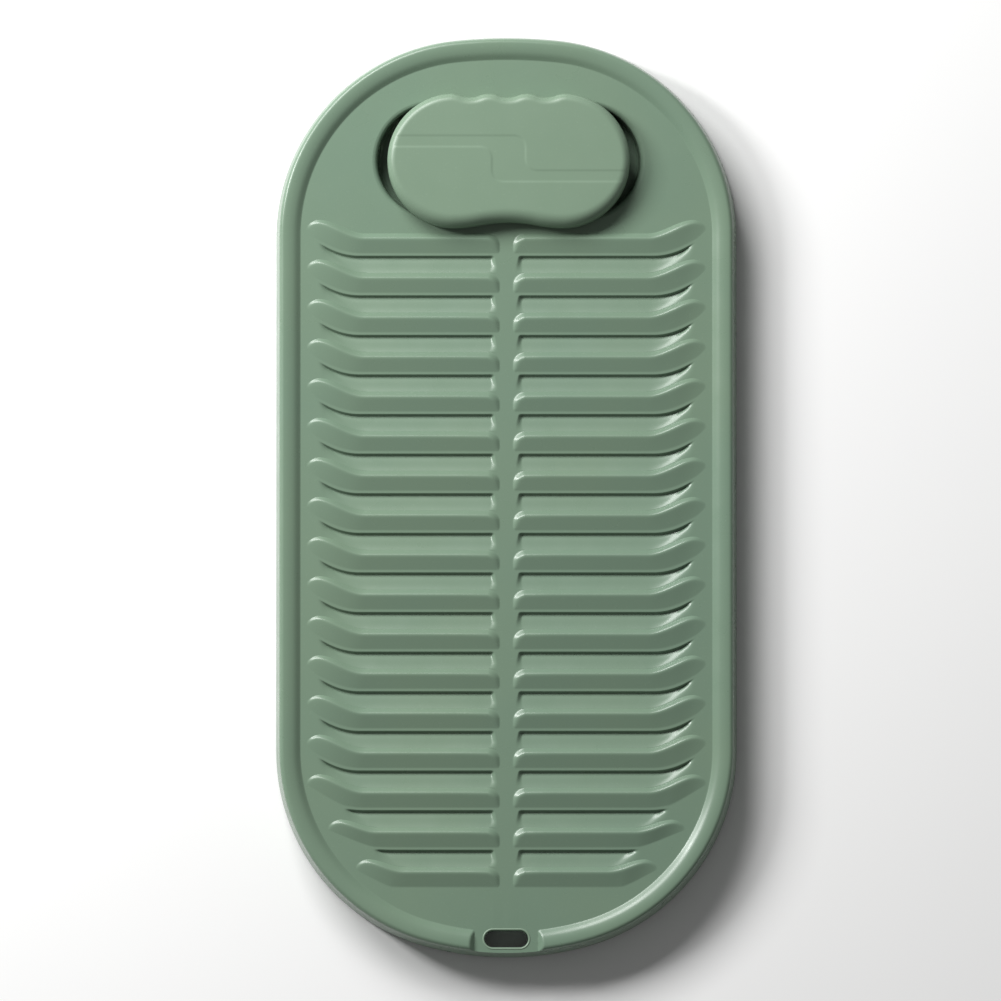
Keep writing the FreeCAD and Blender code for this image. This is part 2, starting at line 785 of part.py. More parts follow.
def groove_skin(row):
    """The wall that hangs below a groove, so that the groove doesn't thin the moulding."""
    back = size("face_height") - size("wall")
    sunk = back + size("skin_sunk")
    end = groove_end(row)
    floor_width = size("groove_skin_floor")
    sections = []
    for across, share in stations(size("groove_root"), SKIN_ROOT, end, SKIN_TIP):
        drop = rib_foot_y(row, across) + size("wall") - size("skin_sunk")
        ramp = groove_foot_y(row, min(across, end - size("overlap"))) + size("skin_margin")
        ramp = min(max(ramp, drop - size("groove_skin_width")), drop - floor_width - size("overlap"))
        low = back - size("groove_depth") * share
        corners = [(drop, sunk), (drop, back), (drop - size("overlap"), low)]
        corners += [(drop - floor_width, low), (ramp, back), (ramp, sunk)]
        sections.append(section_at(across, corners))
    return Part.makeLoft(sections, True, True)


def rib_hollow(row):
    """The hollow below a rib, which keeps the moulding to one thickness."""
    back = size("face_height") - size("wall")
    sunk = back - size("skin_sunk")
    high = back + size("rib_height") - size("rib_lip")
    tip = rib_tip(row)
    sweep_length = rib_sweep(row)
    near_root = ((sweep_length / 6, 1),)
    near_tip = ((sweep_length, 1), (sweep_length * 2 / 3, 1), (sweep_length / 3, 1))
    sections = []
    for across, _ in stations(size("spine_half"), near_root, tip, near_tip):
        crest = crest_y(row, across)
        front = crest + size("rib_shoulder")
        foot = rib_foot_y(row, across) + size("wall")
        corners = [(front, sunk), (front, back), (crest - size("rib_lip"), high)]
        corners += [(crest - size("overlap"), high), (foot, back), (foot, sunk)]
        sections.append(section_at(across, corners))
    return Part.makeLoft(sections, True, True)


def both_columns(label, solids):
    """The solids of the right-hand column with their mirror images, as one object."""
    across = [solid.mirror(Vector(0, 0, 0), Vector(1, 0, 0)) for solid in solids]
    feature = doc.addObject("Part::Feature", label)
    feature.Shape = Part.makeCompound(solids + across)
    return feature


def build_board(tray):
    """The whole moulding: the tray with its ribs and their skins added, then the grooves and the
    hollows taken out."""
    rows = range(LAST + 1)
    added = [
        both_columns("ribs", [rib_solid(row) for row in rows]),
        both_columns("groove_skins", [groove_skin(row) for row in rows[:-1]]),
    ]
    removed = [
        both_columns("grooves", [groove_solid(row) for row in rows[:-1]]),
        both_columns("rib_hollows", [rib_hollow(row) for row in rows]),
    ]
    ribbed = doc.addObject("Part::MultiFuse", "ribbed_tray")
    ribbed.Shapes = [tray, *added]
    spaces = doc.addObject("Part::MultiFuse", "rib_spaces")
    spaces.Shapes = removed
    board = doc.addObject("Part::Cut", "board_shell")
    board.Label = "board_shell"
    board.Base = ribbed
    board.Tool = spaces
    doc.recompute()
    return board


# ---------------------------------------------------------------- the feet


def build_foot(label, place):
    """A rubber foot: a round pad whose stem pushes up into the boss."""
    body = new_body(label)
    pad_outline = new_sketch(body, f"{label}_pad_outline")
    circle(pad_outline, place, "sizes.foot_radius")
    pad(body, f"{label}_pad", pad_outline, "sizes.foot_seat")
    stem_outline = new_sketch(body, f"{label}_stem_outline")
    circle(stem_outline, place, "sizes.stem_radius")
    pad(body, f"{label}_stem", stem_outline, "sizes.stem_top")
    round_edges(body, f"{label}_round", "sizes.foot_round", below(MIDLINE))
    return body


# ---------------------------------------------------------------- the brush

BRUSH_CENTRE = POCKET_CENTRE[0], "sizes.brush_y"
HANDLE_BOTTOM = "sizes.face_height + sizes.handle_gap"
HANDLE_TOP = "sizes.face_height + sizes.handle_gap + sizes.handle_height"
PLATE_TOP = "sizes.plate_bottom + sizes.plate_thickness"


def from_brush(x, y):
    """A place given from the middle of the brush."""
    return f"{BRUSH_CENTRE[0]} + ({x})", f"{BRUSH_CENTRE[1]} + ({y})"


def handle_outline(sketch):
    """Round ends, four finger bumps along the upper edge and a shallow waist along the lower one."""
    top = "sizes.handle_half_width"
    end = "sizes.handle_half_length"
    lobe = "1.5 * sizes.bump_pitch"
    slope = "0.75 * sizes.bump_pitch"
    low = f"-{top} + sizes.waist_depth / 2"
    valley = f"{top} - sizes.bump_depth"
    middle = f"{top} - sizes.bump_depth / 2"
    shoulder = f"{top} - sizes.bump_shoulder"
    waist_shoulder = f"-{top} + sizes.waist_depth / 8"

    def quarters(count, y):
        """A place along the upper edge, counted in quarters of the bumps' pitch."""
        return from_brush(f"{count} / 4 * sizes.bump_pitch", y)

    pieces = [
        (from_brush(end, MIDLINE), from_brush(lobe, top)),
        (quarters(5.5, shoulder), quarters(5, middle)),
    ]
    # valleys and bumps in turn, from the right-hand end bump to the left-hand one
    for place in range(4, -5, -2):
        height = top if place % 4 else valley
        pieces.append((quarters(place, height), quarters(place - 1, middle)))
    pieces += [
        (quarters(-5.5, shoulder), from_brush(f"-{lobe}", top)),
        (from_brush(f"-{end}", MIDLINE), from_brush(f"-{lobe}", f"-{top}")),
        (from_brush(f"-({lobe} + {slope}) / 2", waist_shoulder), from_brush(f"-{slope}", low)),
        (from_brush(MIDLINE, f"-{top} + sizes.waist_depth"), from_brush(slope, low)),
        (from_brush(f"({lobe} + {slope}) / 2", waist_shoulder), from_brush(lobe, f"-{top}")),
    ]
    chain(sketch, from_brush(lobe, f"-{top}"), pieces)


def step_outline(sketch):
    """The shallow stepped band across the handle's back: two level runs joined by a rounded step."""
    upper = "(sizes.step_rise + sizes.step_width) / 2"
    upper_low = "(sizes.step_rise - sizes.step_width) / 2"
    end = "sizes.handle_half_length"
    x = "sizes.step_x"
    turn = "sizes.step_radius"
    bend = "sizes.step_radius * (1 - cos(45))"
    wide_turn = "sizes.step_inner_radius"
    wide_bend = "sizes.step_inner_radius * (1 - cos(45))"
    pieces = [
        (from_brush(f"-{x} - {turn}", upper_low),),
        (from_brush(f"-{x} - {bend}", f"{upper_low} - {bend}"), from_brush(f"-{x}", f"{upper_low} - {turn}")),
        (from_brush(f"-{x}", f"-{upper} + {wide_turn}"),),
        (
            from_brush(f"-{x} + {wide_bend}", f"-{upper} + {wide_bend}"),
            from_brush(f"-{x} + {wide_turn}", f"-{upper}"),
        ),
        (from_brush(end, f"-{upper}"),),
        (from_brush(end, f"-{upper_low}"),),
        (from_brush(f"{x} + {turn}", f"-{upper_low}"),),
        (from_brush(f"{x} + {bend}", f"-{upper_low} + {bend}"), from_brush(x, f"-{upper_low} + {turn}")),
        (from_brush(x, f"{upper} - {turn}"),),
        (from_brush(f"{x} - {bend}", f"{upper} - {bend}"), from_brush(f"{x} - {turn}", upper)),
        (from_brush(f"-{end}", upper),),
        (from_brush(f"-{end}", upper_low),),
    ]
    chain(sketch, from_brush(f"-{end}", upper_low), pieces)


def build_handle():
    """The handle: a hollow cap whose rim rests on the face round the pocket."""
    body = new_body("brush_handle")
    outline = new_sketch(body, "handle_outline", height=HANDLE_BOTTOM)
    handle_outline(outline)
    pad(body, "handle_block", outline, "sizes.handle_height")
    round_edges(body, "handle_round", "sizes.handle_round", above(HANDLE_TOP))
    steps = new_sketch(body, "step_outline", height=HANDLE_TOP)
    step_outline(steps)
    cut(body, "step_band", steps, "sizes.step_depth")

    seat = new_sketch(body, "plate_seat_outline", height=HANDLE_BOTTOM)
    seat_length = "sizes.plate_length + sizes.plate_clearance"
    seat_width = "sizes.plate_width + sizes.plate_clearance"
    capsule(seat, BRUSH_CENTRE, seat_length, seat_width)
    cut(body, "plate_seat", seat, f"{PLATE_TOP} - ({HANDLE_BOTTOM})", upward=True)
    ledge = "sizes.handle_wall * 2"
    hollow = new_sketch(body, "handle_hollow_outline", height=HANDLE_BOTTOM)
    capsule(hollow, BRUSH_CENTRE, f"{seat_length} - {ledge}", f"{seat_width} - {ledge}")
    depth = "sizes.handle_height - sizes.step_depth - sizes.handle_wall"
    cut(body, "handle_hollow", hollow, depth, upward=True)
    bosses = new_sketch(body, "peg_boss_outline", height=PLATE_TOP)
    sockets = new_sketch(body, "peg_socket_outline", height=PLATE_TOP)
    for side in ("-1", "1"):
        place = from_brush(f"{side} * sizes.peg_x", MIDLINE)
        circle(bosses, place, "sizes.peg_boss_radius")
        circle(sockets, place, "sizes.peg_radius + sizes.foot_clearance")
    pad(body, "peg_bosses", bosses, f"{HANDLE_TOP} - sizes.peg_boss_gap - ({PLATE_TOP})")
    cut(body, "peg_sockets", sockets, "sizes.peg_length + sizes.end_room", upward=True)
    return body


def row_place(row):
    """The first tuft of a row."""
    count = TUFTS_IN_ROW[row]
    across = f"-{count - 1} / 2 * sizes.tuft_pitch"
    return from_brush(across, f"({row} - (sizes.tuft_rows - 1) / 2) * sizes.row_pitch")


def row_span(row):
    return f"{TUFTS_IN_ROW[row] - 1} * sizes.tuft_pitch"


def build_plate():
    """The bristle plate: it closes the handle, carries two pegs and is drilled for the tufts."""
    body = new_body("bristle_plate")
    outline = new_sketch(body, "plate_outline", height="sizes.plate_bottom")
    capsule(outline, BRUSH_CENTRE, "sizes.plate_length", "sizes.plate_width")
    pad(body, "plate", outline, "sizes.plate_thickness")
    pegs = new_sketch(body, "peg_outline", height="sizes.plate_bottom")
    for side in ("-1", "1"):
        circle(pegs, from_brush(f"{side} * sizes.peg_x", MIDLINE), "sizes.peg_radius")
    pad(body, "pegs", pegs, "sizes.plate_thickness + sizes.peg_length")
    round_edges(body, "plate_round", "sizes.plate_round", below("sizes.plate_bottom"))
    for row in range(len(TUFTS_IN_ROW)):
        hole = new_sketch(body, f"tuft_hole_outline_{row + 1}", height="sizes.plate_bottom")
        circle(hole, row_place(row), "sizes.tuft_hole_radius")
        first = cut(body, f"tuft_hole_{row + 1}", hole, "sizes.tuft_hole_depth", upward=True)
        repeat_along_x(body, f"tuft_holes_{row + 1}", first, row_span(row), TUFTS_IN_ROW[row])
    return body


HOLE_TOP = "sizes.plate_bottom + sizes.tuft_hole_depth"
TUFT_TOP = f"{HOLE_TOP} - sizes.anchor_height"


def build_bristle_row(row):
    """One row of tufts, each a bundle that splays a little towards its tip."""
    body = new_body(f"bristle_row_{row + 1}")
    cone = body.newObject("PartDesign::AdditiveCone", f"tuft_{row + 1}")
    x, y = row_place(row)
    cone.setExpression("Placement.Base.x", x)
    cone.setExpression("Placement.Base.y", y)
    cone.setExpression("Placement.Base.z", "sizes.tuft_tip_height")
    cone.setExpression("Radius1", "sizes.tuft_tip_radius")
    cone.setExpression("Radius2", "sizes.tuft_root_radius")
    cone.setExpression("Height", f"{TUFT_TOP} - sizes.tuft_tip_height")
    doc.recompute()
    repeat_along_x(body, f"tufts_{row + 1}", cone, row_span(row), TUFTS_IN_ROW[row])
    return body


def build_anchor_row(row):
    """The flat wire anchors that hold a row of tufts at the bottom of their holes."""
    body = new_body(f"anchor_row_{row + 1}")
    strip = body.newObject("PartDesign::AdditiveBox", f"anchor_{row + 1}")
    x, y = row_place(row)
    strip.setExpression("Placement.Base.x", f"{x} - sizes.anchor_length / 2")
    strip.setExpression("Placement.Base.y", f"{y} - sizes.anchor_thickness / 2")
    strip.setExpression("Placement.Base.z", TUFT_TOP)
    strip.setExpression("Length", "sizes.anchor_length")
    strip.setExpression("Width", "sizes.anchor_thickness")
    strip.setExpression("Height", "sizes.anchor_height")
    doc.recompute()
    repeat_along_x(body, f"anchors_{row + 1}", strip, row_span(row), TUFTS_IN_ROW[row])
    return body


# ---------------------------------------------------------------- building and writing


def main():
    parts = [build_foot(label, place) for label, place in FOOT_PLACES.items()]
    parts += [build_handle(), build_plate()]
    parts += [build_bristle_row(row) for row in range(len(TUFTS_IN_ROW))]
    parts += [build_anchor_row(row) for row in range(len(TUFTS_IN_ROW))]
    parts.append(build_board(build_tray()))
    doc.recompute()

    for item in doc.Objects:
        if "Invalid" in item.State or "Error" in item.State:
            raise RuntimeError(f"{item.Name} failed: {item.State}")
    in_a_row = {f"{kind}_row_{row}": count for kind in ("bristle", "anchor")
                for row, count in enumerate(TUFTS_IN_ROW, 1)}
    for part in parts:
        if part.Shape.isNull() or not part.Shape.isValid():
            raise RuntimeError(f"{part.Label} has no valid shape")
        if len(part.Shape.Solids) != in_a_row.get(part.Label, 1):
            raise RuntimeError(f"{part.Label} has come apart into {len(part.Shape.Solids)} solids")
    os.makedirs("parts", exist_ok=True)
    for part in parts:
        part.Shape.exportStep(f"parts/{part.Label}.step")
        solids = len(part.Shape.Solids)
        print(f"{part.Label}: {solids} solids, {part.Shape.Volume / 1000:.2f} cm3")


main()
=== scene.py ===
import math
import random

import bmesh
import bpy
import numpy as np
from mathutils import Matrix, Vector
from mathutils.geometry import delaunay_2d_cdt


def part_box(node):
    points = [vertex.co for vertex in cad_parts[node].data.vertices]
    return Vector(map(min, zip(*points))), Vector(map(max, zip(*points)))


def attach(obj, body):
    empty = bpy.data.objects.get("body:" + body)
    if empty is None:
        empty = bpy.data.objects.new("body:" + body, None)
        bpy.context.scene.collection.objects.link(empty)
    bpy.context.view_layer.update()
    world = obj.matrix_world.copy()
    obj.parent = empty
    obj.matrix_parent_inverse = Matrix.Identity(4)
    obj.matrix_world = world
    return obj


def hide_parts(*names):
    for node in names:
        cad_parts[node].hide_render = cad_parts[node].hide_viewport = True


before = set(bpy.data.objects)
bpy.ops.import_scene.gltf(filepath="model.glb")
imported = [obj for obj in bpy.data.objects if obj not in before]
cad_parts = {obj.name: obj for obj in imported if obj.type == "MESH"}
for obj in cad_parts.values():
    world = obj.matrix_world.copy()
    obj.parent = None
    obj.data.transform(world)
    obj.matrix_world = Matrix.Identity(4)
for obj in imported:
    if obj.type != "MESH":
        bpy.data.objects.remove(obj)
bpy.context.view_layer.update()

# The looks of a moulded plastic washboard with its scrubbing brush.  Shapes are worked out in
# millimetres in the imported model's frame and turned into metres as each mesh is made.

MM = 0.001

board_low, board_high = (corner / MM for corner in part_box("board_shell"))
HALF_WIDTH = board_high.x
HALF_LENGTH = board_high.y
LIP = board_low.z

# the moulding's outline and wall, in millimetres
TOP_CROWN, TOP_CORNER = 274, 108
LOW_CROWN, LOW_CORNER = 166, 110
WALL = 2.2
RIM_RISE = 3.1
RIM_WIDTH = 12.5
SIDE_DRAFT = 1.8
SHOULDER = 2.6
# the rim's inner flank as (inset, steepness)
FLANK = ((4.4, 0), (9.0, 0.25), (11.5, 0.55), (13.0, 0.55), (13.6, 0))
RIM_TOP = board_high.z
FACE = RIM_TOP - RIM_RISE
BACK = FACE - WALL

# the break in the rim at the hanging slot
BREAK_HALF = 17.3
BREAK_SLOPE = 2.6

# the ribs; the last two rows are shorter than the full ones
RIB_ROWS = 17
RIB_PITCH = 21.5
FIRST_CREST = 140.15
RIB_HEIGHT = 2.5
RIB_FRONT = 2.2
RIB_RUN = 9.8
ROOT_EDGE = 3.4
FRONT_RUN = 3.5
ROOT_RUN = 4.8
ROOT_CORNER = 6.4
FULL_RIBS = 15
TIPS = [107.8] * FULL_RIBS + [96.2, 81.2]
RISES = [7.3] * FULL_RIBS + [4.2, 4.2]
SWEEPS = [31] * FULL_RIBS + [26, 26]
HUMP = 6.5
TIP_DROP = 2.8
FULL_GROOVES = 14
GROOVE_ENDS = [102.0] * FULL_GROOVES + [87.7, 71.8]
GROOVE_DEPTH = 2.05
GROOVE_RISES = [7.3] * FULL_GROOVES + [1.0, 0.4, 0]
GROOVE_BENDS = [22] * FULL_GROOVES + [11, 11, 2]

# steps round the larger capsules
ROUND_STEPS = 48

# ---------------------------------------------------------------- meshes


def eased(share):
    """A step from 0 to 1 that starts and ends level."""
    inside = np.clip(share, 0, 1)
    return inside * inside * (3 - 2 * inside)


def smooth_min(one, two, blend):
    """The lower of two heights, with the corner between them rounded over a blend distance."""
    near = np.clip(0.5 + 0.5 * (two - one) / blend, 0, 1)
    return two + (one - two) * near - blend * near * (1 - near)


class Surface:
    """Collects points and faces in millimetres, and makes one welded mesh of them."""

    def __init__(self):
        self.points = []
        self.faces = []

    def add(self, points, faces):
        start = len(self.points)
        self.points.extend(points)
        self.faces.extend(tuple(start + index for index in face) for face in faces)

    def add_grid(self, points, closed=False):
        """Faces between rows of points; a closed grid joins each row's last point to its first."""
        rows, columns = points.shape[:2]
        last = columns if closed else columns - 1
        faces = []
        for row in range(rows - 1):
            for column in range(last):
                after = (column + 1) % columns
                here = row * columns
                faces.append((here + column, here + after, here + columns + after, here + columns + column))
        self.add(points.reshape(-1, 3).tolist(), faces)

    def add_flat(self, height, outer, holes):
        """A level sheet inside an outer loop, with holes left open."""
        loops = [outer, *holes]
        points = [Vector((x, y)) for loop in loops for x, y in loop]
        edges = []
        start = 0
        for loop in loops:
            count = len(loop)
            edges += [(start + n, start + (n + 1) % count) for n in range(count)]
            start += count
        found = delaunay_2d_cdt(points, edges, [], 0, 1e-5)
        vertices = np.array([tuple(point) for point in found[0]])
        triangles = [face for face in found[2]]
        centres = np.array([vertices[list(face)].mean(axis=0) for face in triangles])
        kept = inside_loop(centres, outer)
        for hole in holes:
            kept &= ~inside_loop(centres, hole)
        faces = [face for face, keep in zip(triangles, kept) if keep]
        self.add([(x, y, height) for x, y in vertices], faces)

    def add_relief(self, height_at, outer, inner_points):
        """A sheet inside an outer loop, bent to a height that depends on the place."""
        count = len(outer)
        points = [Vector(place) for place in [*outer, *inner_points]]
        edges = [(n, (n + 1) % count) for n in range(count)]
        found = delaunay_2d_cdt(points, edges, [], 0, 1e-5)
        vertices = np.array([tuple(point) for point in found[0]])
        triangles = found[2]
        centres = np.array([vertices[list(face)].mean(axis=0) for face in triangles])
        kept = inside_loop(centres, outer)
        heights = height_at(vertices[:, 0], vertices[:, 1])
        sheet = np.column_stack([vertices, heights]).tolist()
        self.add(sheet, [face for face, keep in zip(triangles, kept) if keep])

    def mesh(self, name):
        made = bmesh.new()
        vertices = [made.verts.new(Vector(point) * MM) for point in self.points]
        for face in self.faces:
            made.faces.new([vertices[index] for index in face])
        bmesh.ops.remove_doubles(made, verts=made.verts, dist=2e-6)
        bmesh.ops.dissolve_degenerate(made, edges=made.edges, dist=1e-6)
        loose = [vertex for vertex in made.verts if not vertex.link_faces]
        bmesh.ops.delete(made, geom=loose, context="VERTS")
        bmesh.ops.recalc_face_normals(made, faces=made.faces)
        mesh = bpy.data.meshes.new(name)
        made.to_mesh(mesh)
        made.free()
        return mesh

    def object(self, name):
        item = bpy.data.objects.new(name, self.mesh(name))
        bpy.context.scene.collection.objects.link(item)
        return item


def inside_loop(points, loop):
    """Which points lie inside a closed loop, by counting the edges to their right."""
    loop = np.asarray(loop)
    ahead = np.roll(loop, -1, axis=0)
    inside = np.zeros(len(points), bool)
    x, y = points[:, 0], points[:, 1]
    for (x1, y1), (x2, y2) in zip(loop, ahead):
        if y1 == y2:
            continue
        crosses = (y1 > y) != (y2 > y)
        inside ^= crosses & (x < (x2 - x1) * (y - y1) / (y2 - y1) + x1)
    return inside


def loft(name, loops):
    """A closed solid through loops of points, each loop (points in plan, height)."""
    surface = Surface()
    points = np.array([[(x, y, height) for x, y in plan] for plan, height in loops])
    surface.add_grid(points, closed=True)
    count = points.shape[1]
    surface.add(points[0].tolist(), [tuple(range(count))])
    surface.add(points[-1].tolist(), [tuple(range(count))])
    return surface.object(name)


def capsule(centre, length, width, steps=24):
    """A slot shape along X, as points in plan."""
    radius = width / 2
    reach = length / 2 - radius
    angles = np.linspace(-math.pi / 2, math.pi / 2, steps)
    right = [(centre[0] + reach + radius * math.cos(a), centre[1] + radius * math.sin(a)) for a in angles]
    left = [(centre[0] - reach - radius * math.cos(a), centre[1] - radius * math.sin(a)) for a in angles]
    return right + left


def rectangle(centre, half_x, half_y):
    x, y = centre
    left, right = x - half_x, x + half_x
    low, high = y - half_y, y + half_y
    return [(left, low), (right, low), (right, high), (left, high)]


def disc(centre, radius, steps=48):
    angles = np.linspace(0, 2 * math.pi, steps, endpoint=False)
    return [(centre[0] + radius * math.cos(a), centre[1] + radius * math.sin(a)) for a in angles]


def settle(item):
    """Applies an object's modifiers to its mesh."""
    graph = bpy.context.evaluated_depsgraph_get()
    mesh = bpy.data.meshes.new_from_object(item.evaluated_get(graph))
    item.modifiers.clear()
    item.data = mesh


def combine(target, tool, operation):
    """A boolean of two closed meshes; the tool is used up."""
    before = len(target.data.vertices)
    modifier = target.modifiers.new("combine", "BOOLEAN")
    modifier.operation = operation
    modifier.solver = "MANIFOLD"
    modifier.object = tool
    settle(target)
    bpy.data.objects.remove(tool)
    if len(target.data.vertices) == before:
        raise RuntimeError(f"the boolean on {target.name} changed nothing")


def merge(items):
    """One closed mesh made from overlapping ones."""
    first = items[0]
    for item in items[1:]:
        combine(first, item, "UNION")
    return first


def shade(item, angle=35, on_crease=None):
    """Smooth shading that keeps large flat faces flat and leaves sharp edges sharp."""
    for polygon in item.data.polygons:
        polygon.use_smooth = True
    item.data.set_sharp_from_angle(angle=math.radians(angle))
    if on_crease:
        creased = [on_crease(*(vertex.co / MM)) for vertex in item.data.vertices]
        for edge in item.data.edges:
            if all(creased[end] for end in edge.vertices):
                edge.use_edge_sharp = True
    modifier = item.modifiers.new("weighted", "WEIGHTED_NORMAL")
    modifier.mode = "FACE_AREA"
    modifier.weight = 60
    modifier.keep_sharp = True
    settle(item)


# ---------------------------------------------------------------- the board's outline and rim


def arc_stations(centre, radius, first, last, step):
    """Points and outward normals along an arc, from its first angle up to its last."""
    count = max(2, math.ceil(abs(last - first) * radius / step))
    return [
        (centre[0] + radius * math.cos(a), centre[1] + radius * math.sin(a), math.cos(a), math.sin(a))
        for a in np.linspace(first, last, count, endpoint=False)
    ]


def outline_stations():
    """The outline's points and outward normals, anticlockwise from the right-hand side's foot."""
    top_reach, low_reach = HALF_WIDTH - TOP_CORNER, HALF_WIDTH - LOW_CORNER
    top_rise = math.sqrt((TOP_CROWN - TOP_CORNER) ** 2 - top_reach**2)
    low_rise = math.sqrt((LOW_CROWN - LOW_CORNER) ** 2 - low_reach**2)
    top_y, low_y = HALF_LENGTH - TOP_CROWN, LOW_CROWN - HALF_LENGTH
    top_angle = math.atan2(top_rise, top_reach)
    low_angle = math.atan2(low_rise, low_reach)
    pi = math.pi
    coarse, fine = 4.5, 0.5
    past_break, side_steps = 8, 24
    notch = math.asin((BREAK_HALF + past_break) / LOW_CROWN)
    side_y = np.linspace(low_y - low_rise, top_y + top_rise, side_steps, endpoint=False)
    return (
        [(HALF_WIDTH, y, 1, 0) for y in side_y]
        + arc_stations((top_reach, top_y + top_rise), TOP_CORNER, 0, top_angle, coarse)
        + arc_stations((0, top_y), TOP_CROWN, top_angle, pi - top_angle, coarse)
        + arc_stations((-top_reach, top_y + top_rise), TOP_CORNER, pi - top_angle, pi, coarse)
        + [(-HALF_WIDTH, side_y[0] + top_y + top_rise - y, -1, 0) for y in side_y]
        + arc_stations((-low_reach, low_y - low_rise), LOW_CORNER, pi, pi + low_angle, coarse)
        + arc_stations((0, low_y), LOW_CROWN, pi + low_angle, 1.5 * pi - notch, coarse)
        + arc_stations((0, low_y), LOW_CROWN, 1.5 * pi - notch, 1.5 * pi + notch, fine)
        + arc_stations((0, low_y), LOW_CROWN, 1.5 * pi + notch, 2 * pi - low_angle, coarse)
        + arc_stations((low_reach, low_y - low_rise), LOW_CORNER, 2 * pi - low_angle, 2 * pi, coarse)
    )


stations = np.array(outline_stations())


def ring(inset):
    """The outline moved inwards."""
    return stations[:, :2] - inset * stations[:, 2:]


def rim_profile():
    """The rim's section as (inset, height, is it inside), from the crease over the bead, down the
    side, round the lip and back up inside to the flat back of the face."""
    crest_inset = SIDE_DRAFT + SHOULDER
    run = RIM_WIDTH - crest_inset
    flank_radius = (run**2 + RIM_RISE**2) / (2 * RIM_RISE)
    flank_steps = 33
    insets = np.linspace(crest_inset, FLANK[-1][0], flank_steps)
    steepness = np.interp(insets, *zip(*FLANK))
    falls = np.concatenate([[0], np.cumsum((steepness[1:] + steepness[:-1]) * np.diff(insets) / 2)])
    outer = list(zip(insets, RIM_TOP - RIM_RISE * falls / falls[-1]))[::-1]
    for angle in np.linspace(0, math.pi / 2, 12)[1:]:
        inset = crest_inset - SHOULDER * math.sin(angle)
        outer.append((inset, RIM_TOP - SHOULDER * (1 - math.cos(angle))))
    lip_round = 0.8
    outer += [(SIDE_DRAFT * 0.5, (RIM_TOP - SHOULDER + LIP) / 2), (0.06, LIP + lip_round + 0.6)]
    outer += [(0.08, LIP + lip_round), (0.3, LIP + 0.25), (lip_round, LIP)]
    inner = [(WALL - lip_round, LIP), (WALL - 0.2, LIP + 0.25), (WALL, LIP + lip_round)]
    shoulder, skin_radius = SHOULDER - WALL, flank_radius - WALL
    for angle in np.linspace(math.pi / 2, 0, 5):
        inset = crest_inset - shoulder * math.sin(angle)
        inner.append((inset, RIM_TOP - SHOULDER + shoulder * math.cos(angle)))
    back_angle = math.acos(1 - RIM_RISE / skin_radius)
    for angle in np.linspace(0, back_angle, 8)[1:]:
        inset = crest_inset + skin_radius * math.sin(angle)
        inner.append((inset, RIM_TOP - WALL - skin_radius * (1 - math.cos(angle))))
    return [(inset, height, False) for inset, height in outer] + [(*place, True) for place in inner]


def rim_rings():
    """The rim's section carried round the outline, lowered to the face at the hanging slot."""
    no_ceiling, near_break, blend = RIM_TOP + 5, RIM_TOP + 2, 0.9
    rings = []
    for inset, height, inside in rim_profile():
        plan = ring(inset)
        past = (np.abs(plan[:, 0]) - BREAK_HALF) / BREAK_SLOPE
        ceiling = FACE + RIM_RISE * past
        at_bottom = plan[:, 1] < -HALF_LENGTH / 2
        ceiling = np.where(at_bottom, np.maximum(ceiling, FACE), no_ceiling)
        if inside:
            heights = np.minimum(height, ceiling - WALL)
        else:
            lowered = smooth_min(np.full(len(plan), height), ceiling, blend)
            heights = np.where(ceiling < near_break, np.maximum(lowered, min(height, FACE)), height)
        rings.append(np.column_stack([plan, heights]))
    return np.array(rings)


# ---------------------------------------------------------------- the ribs


def crest_y(row, across):
    """Where a rib's crest runs: straight, then swept up to a hump and down to the tip."""
    tip = TIPS[row]
    sweep = SWEEPS[row]
    past_tip = 1.15
    y = FIRST_CREST - row * RIB_PITCH + RISES[row] * eased((across - tip + sweep) / (sweep - HUMP))
    return y - TIP_DROP * np.clip((across - tip + HUMP) / HUMP, 0, past_tip) ** 2


def foot_y(row, across):
    """The lower edge of a rib and upper edge of its groove, run on past the groove to the tip."""
    tip = TIPS[row]
    into_sweep, tip_drop, taper = 7, 1, 1.25
    end = GROOVE_ENDS[row] if row < len(GROOVE_ENDS) else tip - SWEEPS[row] + into_sweep
    bend = GROOVE_BENDS[row]
    y = FIRST_CREST - row * RIB_PITCH - RIB_RUN
    y = y + GROOVE_RISES[row] * np.clip((across - end + bend) / bend, 0, 1) ** 2
    share = np.clip((across - end) / (tip - end), 0, 1)
    return y + (crest_y(row, np.full_like(across, tip)) - tip_drop - y) * share**taper


def ramp_end_y(row, across):
    """The lower edge of a groove: it follows the next rib's front and closes up at its end."""
    front_gap, taper, width_at_end = 0.04, 1.6, 2.4
    next_front = crest_y(row + 1, across) + RIB_FRONT + front_gap
    end = GROOVE_ENDS[row]
    closing = 4 if row < FULL_GROOVES else 3
    share = np.clip((across - end + closing) / closing, 0, 1) ** taper
    return next_front + (foot_y(row, across) - width_at_end - next_front) * share


